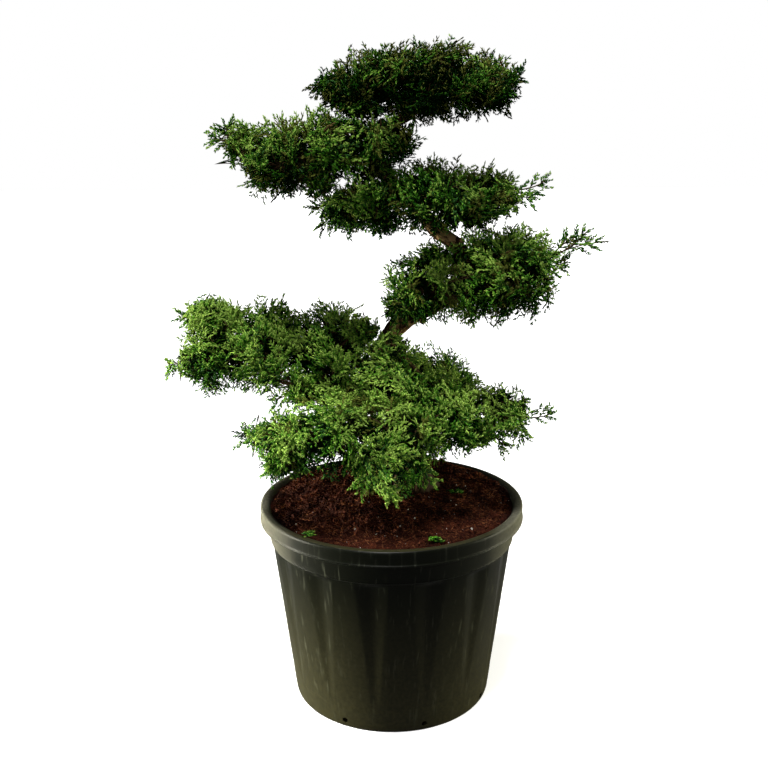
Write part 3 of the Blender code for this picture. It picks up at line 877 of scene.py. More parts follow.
def pierce(piece: bpy.types.Object, holes: Skin) -> None:
    """Cuts holes through a piece and keeps the result as its mesh.

    Args:
        piece: what is cut.
        holes: closed tubes that pass through it.
    """
    mesh = bpy.data.meshes.new("cutter")
    mesh.from_pydata(holes.points.tolist(), [], holes.triangles.tolist())
    cutter = add_object("cutter", mesh)
    cut = piece.modifiers.new("holes", "BOOLEAN")
    cut.operation, cut.solver, cut.object = "DIFFERENCE", "EXACT", cutter
    bpy.context.view_layer.update()
    graph = bpy.context.evaluated_depsgraph_get()
    finished = bpy.data.meshes.new_from_object(piece.evaluated_get(graph))
    piece.modifiers.clear()
    piece.data = finished
    bpy.data.objects.remove(cutter)


@dataclass
class Soil:
    """Coarse peat with crumbs, fibres and white flecks, domed towards the trunk.

    lump_sizes are the sizes of its lumps across, each with their height. The soil is heaped up
    most at heap_angle, over heap_width to either side, its edge stands rim_rise higher
    elsewhere, and all of it is sunk a little. It is smoother round the trunk's foot.
    """

    edge: float = 0.2387
    bottom: float = 0.0064
    bottom_radius: float = 0.1895
    side_sectors: int = 300
    rings: int = 120
    crumbs: int = 9000
    fibres: int = 5200
    flecks: int = 90
    lump_sizes: tuple[tuple[float, float], ...] = (
        (0.047, 0.0045), (0.018, 0.0030), (0.007, 0.0018),
    )
    heap: float = 0.013
    heap_angle: float = 1.25
    heap_width: float = 1.15
    rim_rise: float = 0.003
    sunk: float = 0.0015
    trunk_foot: tuple[float, float] = (0.045, 0.020)
    seed: int = 41

    def height(self, x: Points, y: Points) -> Points:
        """Height of the soil: a dome with lumps of three sizes, heaped up to the rim behind.

        The dome is edge + rise (1 - (r / R)^2), and the lumps are three noises added up.

        Args:
            x: places to the right.
            y: places away from the viewer.

        Returns:
            The level at each place.
        """
        radius = np.hypot(x, y)
        dome = SOIL_EDGE + (GROUND - SOIL_EDGE) * (1.0 - (radius / self.edge) ** 2)
        lumps = 0.0 * radius
        for seed, (size, high) in enumerate(self.lump_sizes, 1):
            lumps = lumps + high * smooth_noise(x / size + 90, y / size + 90, seed)
        turned = (np.arctan2(y, x) - self.heap_angle + math.pi) % math.tau - math.pi
        behind = np.exp(-((turned / self.heap_width) ** 2))
        edge = smoothstep((radius / self.edge - 0.80) / 0.20)
        heap = self.heap * behind * np.exp(-(((radius / self.edge - 0.92) / 0.24) ** 2))
        away = np.hypot(x - self.trunk_foot[0], y - self.trunk_foot[1])
        lumps = lumps * (0.35 + 0.65 * smoothstep((away - 0.05) / 0.05))
        return dome + heap + lumps + self.rim_rise * edge * (1.0 - behind) - self.sunk

    def bed(self) -> Skin:
        """The body of soil: the lumpy top on a polar grid, closed by a side and a bottom.

        Returns:
            The closed surface.
        """
        angle = np.linspace(0.0, math.tau, self.side_sectors, endpoint=False)[None]
        share = (1.0 - (np.arange(self.rings) / self.rings) ** 1.1)[:, None]
        radius = self.edge * np.maximum(share, 0.004)
        x, y = radius * np.cos(angle), radius * np.sin(angle)
        top = np.stack([x, y, self.height(x, y)], axis=-1)
        low = self.bottom_radius * facing(angle, 0 * angle)
        low[..., 2] = self.bottom
        return capped_tubes(np.concatenate([low, top])[None])

    def scattered(
        self, rng: np.random.Generator, count: int, most: float = 0.985
    ) -> tuple[Points, Points]:
        """Evenly dealt places on the soil.

        Args:
            rng: where the chance comes from.
            count: how many.
            most: how far out they go, as a share of the soil's radius.

        Returns:
            The places' x and y.
        """
        radius = self.edge * most * np.sqrt(rng.uniform(0.0, 1.0, count))
        angle = rng.uniform(0.0, math.tau, count)
        return radius * np.cos(angle), radius * np.sin(angle)

    def lumps(self, rng: np.random.Generator, count: int, low: float, high: float) -> Skin:
        """Loose crumbs: eight-sided grains, each stretched, turned and set half into the soil.

        Args:
            rng: where the chance comes from.
            count: how many.
            low: smallest size.
            high: largest size; small ones are much more common.

        Returns:
            All the crumbs as one surface.
        """
        x, y = self.scattered(rng, count)
        size = low + (high - low) * rng.uniform(0.0, 1.0, count) ** 3
        first = unit(rng.normal(size=(count, 3)))
        second = unit(np.cross(first, rng.normal(size=(count, 3))))
        third = np.cross(first, second)
        corners = np.concatenate([np.eye(3), -np.eye(3)])
        grain = corners[None] * rng.uniform(0.6, 1.25, (count, 6, 1))
        grain = grain + rng.uniform(-0.22, 0.22, (count, 6, 3))
        grain = grain * size[:, None, None] * rng.uniform(0.6, 1.2, (count, 1, 3))
        turned = grain @ np.stack([first, second, third], axis=1)
        centre = np.stack([x, y, self.height(x, y) + 0.25 * size], axis=-1)
        return Skin.repeated(centre[:, None] + turned, GRAIN_FACES)

    def strands(self, rng: np.random.Generator, count: int, longest: float) -> Skin:
        """Fibres and chips of bark that lie on the soil at all angles.

        Args:
            rng: where the chance comes from.
            count: how many.
            longest: the longest one's length.

        Returns:
            All of them as one surface.
        """
        x, y = self.scattered(rng, count, 0.965)
        length = longest * rng.uniform(0.25, 1.0, count) ** 1.6
        heading = rng.uniform(0.0, math.tau, count)
        tilt = rng.normal(0.0, 0.22, count)
        way = facing(heading, tilt) * length[:, None] / 2
        middle = np.stack([x, y, self.height(x, y) + 0.0012], axis=-1)
        return spindles(middle - way, middle + way, rng.uniform(0.0003, 0.0009, count), 0.5)

    def dress(self) -> None:
        """Makes the bed and all that lies in it."""
        rng = np.random.default_rng(self.seed)
        peat = EarthFinish("peat", (0.007, 0.0012, 0.0007), (0.036, 0.0085, 0.0040)).make()
        crumb = EarthFinish("peat_crumbs", (0.012, 0.0025, 0.0014), (0.062, 0.016, 0.007)).make()
        fibre = EarthFinish("peat_fibres", (0.060, 0.018, 0.008), (0.230, 0.085, 0.035)).make()
        fleck = EarthFinish("white_flecks", (0.45, 0.42, 0.36), (0.75, 0.72, 0.66)).make()
        add_piece("peat_bed", self.bed(), [peat], ["soil"])
        grains = self.lumps(rng, self.crumbs, 0.0011, 0.0056)
        add_piece("peat_crumbs", grains, [crumb], sharp_angle=math.radians(20))
        add_piece("peat_fibres", self.strands(rng, self.fibres, 0.017), [fibre])
        flecks = self.lumps(rng, self.flecks, 0.0012, 0.0030)
        add_piece("white_flecks", flecks, [fleck], sharp_angle=math.radians(20))


@dataclass(frozen=True)
class Bough:
    """One limb: at which trunk point it leaves, counted from 0, where it ends and how thick."""

    name: str
    place: float
    tip: Place
    tip_radius: float


@dataclass(frozen=True)
class LimbEnd:
    """Where a limb stops and its foliage takes over: point, heading and radius."""

    point: Points
    heading: Points
    radius: float


@dataclass
class Limbs:
    """The S-shaped trunk and its boughs, in stringy bark.

    The trunk's rows are x, y, z and radius. Each stub has the trunk point that it grows from,
    counted as a bough's, its heading and its radius.
    """

    sag: float = 0.10
    flare: float = 0.65
    buttress: float = 0.16
    buttresses: int = 5
    flare_height: float = 0.030
    trunk: tuple[tuple[float, float, float, float], ...] = (
        (0.045, 0.020, 0.424, 0.0270), (0.036, 0.026, 0.490, 0.0235),
        (0.008, 0.030, 0.580, 0.0210), (-0.014, 0.022, 0.675, 0.0190),
        (0.012, 0.004, 0.748, 0.0176), (0.078, -0.006, 0.790, 0.0163),
        (0.140, 0.002, 0.832, 0.0150), (0.132, 0.012, 0.888, 0.0138),
        (0.083, 0.004, 0.932, 0.0124), (0.046, -0.004, 0.978, 0.0114),
        (0.000, 0.004, 1.020, 0.0104), (-0.034, 0.014, 1.062, 0.0096),
        (-0.012, 0.016, 1.108, 0.0088), (0.042, 0.006, 1.140, 0.0080),
    )
    boughs: tuple[Bough, ...] = (
        Bough("upper_left", 11.0, (-0.085, -0.012, 1.072), 0.0060),
        Bough("middle_left", 9.7, (-0.036, -0.006, 0.988), 0.0048),
        Bough("middle_right", 9.0, (0.112, -0.012, 0.986), 0.0056),
        Bough("right", 6.5, (0.192, 0.004, 0.852), 0.0060),
        Bough("lower_left", 2.7, (-0.078, 0.036, 0.682), 0.0085),
        Bough("lower_right", 2.1, (0.060, -0.016, 0.618), 0.0085),
        Bough("front_left", 1.2, (-0.058, -0.076, 0.566), 0.0070),
        Bough("front", 1.7, (0.008, -0.082, 0.585), 0.0065),
        Bough("back", 1.5, (0.030, 0.108, 0.592), 0.0065),
    )
    stubs: tuple[tuple[float, Place, float], ...] = (
        (4.7, (0.10, -0.85, -0.45), 0.0068), (5.5, (0.30, -0.40, 0.85), 0.0050),
        (3.3, (-0.80, -0.55, 0.20), 0.0065), (7.4, (0.75, -0.60, 0.20), 0.0050),
        (8.5, (-0.20, -0.80, 0.55), 0.0045), (2.4, (0.90, -0.20, 0.35), 0.0070),
        (1.0, (0.60, -0.75, 0.25), 0.0075), (6.3, (0.20, 0.90, -0.30), 0.0055),
    )

    def trunk_line(self, steps: int) -> tuple[Points, Points]:
        """The trunk's middle line and its plain radii."""
        table = np.array(self.trunk)
        return smooth_path(table[:, :3], steps), spread(table[:, 3], steps)

    def bough_line(self, bough: Bough, steps: int) -> tuple[Points, Points]:
        """A bough's middle line, which sags half way, and its radii, which taper evenly.

        Args:
            bough: which one.
            steps: points to a span of the line.

        Returns:
            The line's points and their radii.
        """
        line, radii = self.trunk_line(60)
        start, thick = line[round(bough.place * 60)], radii[round(bough.place * 60)]
        tip = np.array(bough.tip)
        middle = (start + tip) / 2 - UP * self.sag * np.linalg.norm(tip - start)
        path = smooth_path(np.stack([start, middle, tip]), steps)
        first = min(1.6 * bough.tip_radius, 0.8 * thick)
        return path, np.linspace(first, bough.tip_radius, len(path))

    def end(self, name: str) -> LimbEnd:
        """The end of the limb that carries a pad. The top pad grows on the trunk's own tip.

        Args:
            name: the pad's name.

        Returns:
            Where the limb stops.
        """
        found = [bough for bough in self.boughs if bough.name == name]
        path, radii = self.bough_line(found[0], 12) if found else self.trunk_line(12)
        return LimbEnd(path[-1], unit(path[-1] - path[-2]), float(radii[-1]))

    def barked(
        self, path: Points, radii: Points, sides: int, strips: int, depth: float, seed: int
    ) -> tuple[Skin, Points]:
        """A limb in bark that peels in long strips.

        The radius is the plain one times 1 + min(e^(-h / H), 1.3) (F + B cos 5a), where h is
        the height over the soil, plus depth times a relief. The relief adds up 1 - 2|n| of two
        noises stretched along the limb, with strips and with three times as many to a turn,
        which drift round it on the way up, and a third noise that swells it more broadly.

        Args:
            path: the limb's middle line.
            radii: its plain radius at each point.
            sides: points round it.
            strips: strips of bark to a turn.
            depth: how deep the relief is where the limb's radius is 20 mm.
            seed: which noise.

        Returns:
            The closed surface, and each point's relief from 0 to 1. The relief is held down
            near the soil, where the bark is stained dark.
        """
        _, side, other = (part[0] for part in path_frames(path[None]))
        turn = np.arange(sides)[None] / sides
        steps = np.linalg.norm(np.diff(path, axis=0), axis=1)
        along = np.concatenate([[0.0], np.cumsum(steps)])[:, None]
        drift = 1.2 * np.sin(along / 0.09) + 6.0 * along
        # Of each noise: cells to a turn, how far they drift round and how long they are
        cells = [(strips, drift, 0.040), (3 * strips, drift, 0.016), (4, 0.0, 0.030)]
        wide, narrow, swell = (
            smooth_noise(turn * many + moved, along / length + 0 * turn, seed + i, many)
            for i, (many, moved, length) in enumerate(cells)
        )
        relief = 0.60 * (1 - 2 * np.abs(wide)) + 0.34 * (1 - 2 * np.abs(narrow)) + 0.30 * swell
        near = np.exp(-(path[:, 2:] - GROUND) / self.flare_height)
        lobes = self.flare + self.buttress * np.cos(self.buttresses * math.tau * turn)
        scale = (radii[:, None] / 0.02) ** 0.7
        radius = radii[:, None] * (1.0 + np.minimum(near, 1.3) * lobes) + depth * scale * relief
        angle = math.tau * turn[..., None]
        out = side[:, None] * np.cos(angle) + other[:, None] * np.sin(angle)
        skin = capped_tubes((path[:, None] + out * radius[..., None])[None])
        clean = 0.35 + 0.65 * smoothstep((path[:, 2:] - GROUND - 0.01) / 0.07)
        return skin, np.append(np.clip(0.5 + 0.5 * relief, 0.0, 1.0) * clean, [0.5, 0.5])

    def pruned(self) -> tuple[Skin, Points]:
        """Short stubs where branches were cut off, each flared at its foot and cut flat.

        Returns:
            The stubs as one surface, and each point's relief from 0 to 1, palest on the cuts.
        """
        # Along each stub: how far out, how thick and how pale
        sides = 14
        shares = np.array([0.3, 0.55, 0.75, 0.90, 0.99, 1.0])
        sizes = np.array([1.7, 1.5, 1.12, 1.0, 0.96, 0.80])
        relief = np.append(np.repeat([0.35, 0.35, 0.5, 0.6, 0.9, 1.0], sides), [0.35, 1.0])
        line, radii = self.trunk_line(60)
        skins = []
        for place, heading, radius in self.stubs:
            index = round(place * 60)
            way = unit(np.array(heading))
            reach = radii[index] + radius * 2.2
            path = line[index] + way * reach * shares[:, None]
            skins.append(round_tubes(path[None], (radius * sizes)[None], sides))
        return Skin.joined(skins), np.tile(relief, len(skins))

    def dress(self) -> None:
        """Makes the trunk with its stubs, and each bough."""
        bark = BarkFinish("bark").make()
        line, radii = self.trunk_line(30)
        line = np.concatenate([[line[0] - UP * 0.010, line[0] - UP * 0.005], line])
        radii = np.concatenate([radii[:1], radii[:1], radii])
        trunk, relief = self.barked(line, radii, 110, 6, 0.0040, 11)
        stubs, cuts = self.pruned()
        marks = {"relief": np.concatenate([relief, cuts])}
        add_piece("trunk_bark", Skin.joined([trunk, stubs]), [bark], ["trunk"], marks)
        for i, bough in enumerate(self.boughs):
            path, radii = self.bough_line(bough, 28)
            skin, relief = self.barked(path, radii, 44, 9, 0.0016, 20 + 3 * i)
            name = f"bark_{bough.name}"
            add_piece(name, skin, [bark], [f"bough_{bough.name}"], {"relief": relief})


@dataclass(frozen=True)
class Shoots:
    """How the shoots of one order leave what carries them.

    They stand from start over a span, which are shares of their carrier's length, each up to
    jitter of a step out of place. lean holds the least and the most angle at which they leave,
    in radians, lift how far they stray out of the spray's plane, and sizes the least and the
    most share of their usual length.
    """

    start: float
    span: float
    jitter: float
    lean: tuple[float, float]
    lift: float
    sizes: tuple[float, float]

    def places(self, rng: np.random.Generator, shape: tuple[int, ...]) -> Points:
        """Where shoots stand along their carrier: start + span (k + chance) / n.

        Args:
            rng: where the chance comes from.
            shape: how many of each there are; the last is the number to a carrier.

        Returns:
            Shares of the carrier's length.
        """
        k = np.arange(shape[-1])
        return self.start + self.span * (k + rng.uniform(-self.jitter, self.jitter, shape)) / len(k)


SIDE_SHOOTS = Shoots(0.10, 0.86, 0.3, (0.58, 0.88), 0.16, (0.72, 1.22))
SHORT_TIPS = Shoots(0.28, 0.62, 0.25, (0.50, 0.80), 0.18, (0.8, 1.25))


@dataclass
class Sprays:
    """Many flat sprays: in each array one row is one spray.

    A spray has its root, its heading, the way that its flat side faces, its length and its
    shade, where 0 is the darkest, for old inner growth and painted shade, and 1 is the newest.
    The sprays share their number of side shoots and of tips to a shoot, how thick their shoots
    are, opening, which is the share of the usual angle at which side shoots leave, and the
    length from which tips are made. mottle is the chance in each shoot's shade, and bluish the
    share of sprays that are bluish.
    """

    roots: Points
    headings: Points
    faces: Points
    lengths: Points
    shades: Points
    side_shoots: int = 9
    tips_to_a_shoot: int = 4
    thick: float = 0.00135
    opening: float = 1.0
    shortest_tip: float = 0.0038
    mottle: float = 0.19
    bluish: float = 0.14

    def skin(self, rng: np.random.Generator, brown: float = 0.007, olive: float = 0.04) -> Skin:
        """All the sprays as one surface.

        A leader runs from the root with p(t) = root + L (h t + (w s - b f) t^2), where h, s and
        f are the spray's heading, side and face, and w and b its sway and bow. Side shoots
        leave it to left and right in turn, each l = L (0.28 (1 - t)^0.8 + 0.10) long by and
        large, and each carries short tips the same way, l (0.42 (1 - u) + 0.17) long.

        Args:
            rng: where the chance comes from.
            brown: share of the sprays that have died back.
            olive: share of the newer sprays that are olive.

        Returns:
            The shoots, each with the number of its tint.
        """
        count = len(self.roots)
        heading = self.headings
        side = unit(np.cross(self.faces, heading))
        face = np.cross(heading, side)
        bow = rng.uniform(-0.04, 0.24, (count, 1))
        sway = rng.uniform(-0.16, 0.16, (count, 1))
        bend = sway * side - bow * face
        size = self.lengths[:, None]

        def at(t: Points) -> Points:
            """Points on the leaders.

            Args:
                t: places along them, as (sprays, places).

            Returns:
                Points as (sprays, places, 3).
            """
            t = t[..., None]
            curve = heading[:, None] * t + bend[:, None] * t**2
            return self.roots[:, None] + size[:, None] * curve

        # The leaders, in three lengths each
        joints = at(np.tile([0.0, 0.36, 0.70, 1.0], (count, 1)))
        starts, tips = [joints[:, :-1]], [joints[:, 1:]]
        thick = [np.tile([1.25, 1.10, 0.95], (count, 1)) * self.thick]
        # Each shoot's newer is partly the brighter green of new growth towards the tip and partly
        # painted shade, darker towards the spray's base.
        newer = [np.tile([-0.40, -0.20, 0.08], (count, 1))]

        # The side shoots, at t along their leader
        order = SIDE_SHOOTS
        t = np.clip(order.places(rng, (count, self.side_shoots)), 0.04, 0.97)
        ahead = unit(heading[:, None] + 2 * bend[:, None] * t[..., None])
        lean = self.opening * rng.uniform(*order.lean, t.shape)[..., None]
        lift = rng.normal(0.0, order.lift, t.shape)[..., None]
        aside = side[:, None] * in_turn(self.side_shoots)[:, None]
        way = leaning(ahead, aside, face[:, None], lean, lift)
        long = size * (0.28 * (1 - t) ** 0.8 + 0.10) * rng.uniform(*order.sizes, t.shape)
        first = at(t)
        last = first + (way + 0.12 * ahead) * long[..., None]
        starts.append(first)
        tips.append(last)
        thick.append(np.full(t.shape, self.thick) * rng.uniform(0.85, 1.1, t.shape))
        newer.append(-0.24 + 0.34 * t)

        # The tips, at u along their side shoot; the shortest are left off
        order = SHORT_TIPS
        u = order.places(rng, (*t.shape, self.tips_to_a_shoot))
        axis = unit(last - first)[:, :, None]
        across = unit(np.cross(face[:, None, None] + 0 * axis, axis))
        lean = rng.uniform(*order.lean, u.shape)[..., None]
        lift = rng.normal(0.0, order.lift, u.shape)[..., None]
        aside = across * in_turn(self.tips_to_a_shoot)[:, None]
        small = leaning(axis, aside, face[:, None, None], lean, lift)
        short = long[..., None] * (0.42 * (1 - u) + 0.17) * rng.uniform(*order.sizes, u.shape)
        base = first[:, :, None] + (last - first)[:, :, None] * u[..., None]
        end = base + small * short[..., None]
        kept = short > self.shortest_tip

        main = spindles(merged(starts), merged(tips), merged(thick), 0.55)
        fine = spikes(base[kept], end[kept], np.full(int(kept.sum()), self.thick * 1.1))
        skin = Skin.joined([main, fine])
        owners = [np.repeat(np.arange(count), part.shape[1]) for part in starts]
        whose = np.concatenate([*owners, np.nonzero(kept)[0]])
        # Tips are lighter further out, as newer growth, and darker near the spray's base, as
        # painted shade.
        added = np.concatenate([merged(newer), (-0.14 + 0.26 * t[..., None] + 0.22 * u)[kept]])
        tint = self.tinted(rng, whose, added, brown, olive)
        is_spindle = np.arange(len(whose)) < len(main.triangles) // len(SPINDLE_FACES)
        faces = np.where(is_spindle, len(SPINDLE_FACES), len(SPIKE_FACES))
        skin.finishes = np.repeat(tint, faces)
        return skin

    def tinted(
        self, rng: np.random.Generator, whose: Indices, added: Points, brown: float, olive: float
    ) -> Indices:
        """The tint of every shoot, by its spray's shade, its own place in the spray and chance.

        Args:
            rng: where the chance comes from.
            whose: each shoot's spray.
            added: how much lighter than its spray each shoot is: lighter for newer tips, darker for
                painted shade at the spray's base.
            brown: share of the sprays that have died back.
            olive: share of the newer sprays that are olive.

        Returns:
            The tint's number for each shoot.
        """
        shade = self.shades[whose] + added + rng.normal(0.0, self.mottle, len(whose))
        tint = np.digitize(shade, NEWER_FROM)
        kind = rng.uniform(0.0, 1.0, len(self.roots))[whose]
        order = list(Tint)
        dark = np.isin(tint, [order.index(Tint.DEEP), order.index(Tint.GREEN)])
        cool = dark & (kind > 1.0 - self.bluish)
        tint = np.where(cool, order.index(Tint.BLUISH), tint)
        tint = np.where((kind < olive) & (tint >= 1), order.index(Tint.OLIVE), tint)
        return np.where(kind < brown, order.index(Tint.STRAW), tint)


@dataclass(frozen=True)
class Pad:
    """One cloud of foliage: its lobes as (centre, half widths), and its far tips.

    The number after its far tips is painted light added to its shades: the pad's tints are
    painted lighter above zero and darker below, for how the light falls on the pad. bare is
    the share of a far shoot that has no sprays, and olive is the share of its newer sprays that
    are olive.
    """

    name: str
    lobes: tuple[tuple[Place, Place], ...]
    far_tips: tuple[Place, ...]
    painted_light: float = 0.0
    bare: float = 0.25
    olive: float = 0.04

    def centres(self) -> Points:
        """The lobes' middles."""
        return np.array([centre for centre, _ in self.lobes])

    def halves(self) -> Points:
        """The lobes' half widths."""
        return np.array([half for _, half in self.lobes])

    def areas(self) -> Points:
        """A measure of each lobe's surface: its half widths' three products added up."""
        a, b, c = self.halves().T
        return a * b + b * c + a * c

    def measures(self, points: Points) -> Points:
        """How far out each point lies in each lobe: 0 at its heart and 1 on its surface."""
        apart = (points[:, None] - self.centres()) / self.halves()
        return np.linalg.norm(apart, axis=-1)


# Each pad's painted light darkens the top pads and lightens the low ones, for how the light from
# overhead falls on them.
PADS = (
    Pad("top", (
        ((0.076, 0.006, 1.196), (0.112, 0.140, 0.065)),
        ((-0.018, 0.012, 1.190), (0.086, 0.115, 0.060)),
        ((0.170, 0.000, 1.184), (0.066, 0.105, 0.051)),
        ((-0.094, 0.000, 1.180), (0.042, 0.070, 0.042)),
        ((0.050, -0.030, 1.152), (0.056, 0.065, 0.030)),
        ((-0.046, -0.030, 1.146), (0.056, 0.060, 0.022)),
    ), ((-0.132, 0.0, 1.190), (0.234, -0.020, 1.208)), painted_light=-0.32, olive=0.40),
    Pad("upper_left", (
        ((-0.200, -0.010, 1.062), (0.082, 0.115, 0.065)),
        ((-0.094, -0.022, 1.082), (0.098, 0.140, 0.064)),
        ((-0.126, -0.030, 1.020), (0.034, 0.045, 0.034)),
        ((-0.002, -0.030, 1.098), (0.054, 0.100, 0.046)),
        ((-0.026, -0.045, 1.040), (0.042, 0.050, 0.044)),
        ((-0.272, -0.010, 1.094), (0.030, 0.045, 0.034)),
    ), (
        (-0.318, -0.010, 1.096), (-0.294, -0.020, 1.118), (-0.284, -0.030, 1.070),
    ), olive=0.20),
    Pad("middle_left", (
        ((-0.066, -0.010, 0.972), (0.068, 0.098, 0.048)),
        ((-0.020, -0.048, 1.006), (0.056, 0.070, 0.042)),
        ((-0.010, -0.050, 0.956), (0.044, 0.050, 0.032)),
    ), ((-0.144, -0.012, 0.972), (-0.136, -0.020, 0.934)), painted_light=-0.03, olive=0.10),
    Pad("middle_right", (
        ((0.168, -0.010, 0.992), (0.074, 0.110, 0.050)),
        ((0.062, -0.024, 0.994), (0.092, 0.130, 0.060)),
        ((0.140, -0.030, 0.958), (0.056, 0.060, 0.028)),
    ), ((0.284, -0.010, 1.020), (0.262, -0.030, 0.990)), painted_light=-0.02, olive=0.16),
    Pad("right", (
        ((0.241, 0.000, 0.855), (0.078, 0.115, 0.073)),
        ((0.170, 0.000, 0.846), (0.084, 0.140, 0.080)),
        ((0.060, -0.052, 0.832), (0.074, 0.080, 0.060)),
        ((0.012, -0.045, 0.790), (0.028, 0.035, 0.026)),
        ((0.088, -0.024, 0.880), (0.044, 0.055, 0.034)),
    ), (
        (0.407, -0.004, 0.908), (0.366, -0.014, 0.932), (0.334, -0.010, 0.918),
        (0.330, -0.010, 0.872),
    ), painted_light=0.04, bare=0.55, olive=0.16),
    Pad("lower_left", (
        ((-0.126, 0.036, 0.690), (0.098, 0.134, 0.084)),
        ((-0.236, 0.034, 0.704), (0.092, 0.128, 0.080)),
        ((-0.332, 0.032, 0.704), (0.070, 0.106, 0.080)),
        ((-0.350, 0.026, 0.766), (0.050, 0.070, 0.034)),
        ((-0.376, 0.020, 0.676), (0.044, 0.060, 0.036)),
        ((-0.140, -0.030, 0.636), (0.070, 0.080, 0.046)),
        ((-0.058, 0.012, 0.734), (0.048, 0.060, 0.032)),
    ), (
        (-0.426, 0.010, 0.672), (-0.396, 0.020, 0.764), (-0.230, 0.0, 0.604),
    ), painted_light=0.14, olive=0.01),
    Pad("lower_right", (
        ((0.104, -0.024, 0.593), (0.096, 0.140, 0.067)),
        ((0.005, -0.014, 0.642), (0.084, 0.140, 0.060)),
        ((-0.024, -0.036, 0.684), (0.070, 0.085, 0.046)),
        ((0.002, -0.055, 0.724), (0.036, 0.045, 0.028)),
        ((0.208, -0.020, 0.588), (0.062, 0.095, 0.043)),
        ((0.160, -0.040, 0.548), (0.052, 0.060, 0.028)),
    ), (
        (0.310, -0.030, 0.586), (0.254, -0.050, 0.534), (0.216, -0.060, 0.528),
    ), painted_light=0.13, bare=0.30, olive=0.01),
    Pad("front_left", (
        ((-0.112, -0.120, 0.576), (0.082, 0.110, 0.070)),
        ((-0.190, -0.104, 0.554), (0.064, 0.095, 0.052)),
        ((-0.240, -0.110, 0.562), (0.026, 0.040, 0.024)),
        ((-0.194, -0.135, 0.522), (0.036, 0.040, 0.030)),
    ), ((-0.270, -0.110, 0.574), (-0.224, -0.140, 0.500)), painted_light=0.01, olive=0.06),
    Pad("front", (
        ((0.000, -0.142, 0.562), (0.086, 0.098, 0.084)),
        ((-0.066, -0.125, 0.588), (0.060, 0.080, 0.056)),
        ((0.066, -0.110, 0.588), (0.062, 0.080, 0.056)),
    ), (
        (0.008, -0.190, 0.470), (-0.060, -0.180, 0.484), (0.078, -0.150, 0.486),
    ), painted_light=0.19, olive=0.12),
    Pad("back", (
        ((0.066, 0.170, 0.600), (0.100, 0.095, 0.062)),
        ((-0.060, 0.190, 0.574), (0.086, 0.084, 0.056)),
    ), ((0.168, 0.210, 0.590), (-0.136, 0.250, 0.560))),
)


# Where sprays end in their lobe: for chances from and to, the least and the most reach
REACHES = ((0.0, 0.70, (1.02, 1.14)), (0.70, 1.0, (0.84, 1.02)), (0.0, 0.05, (1.14, 1.28)))


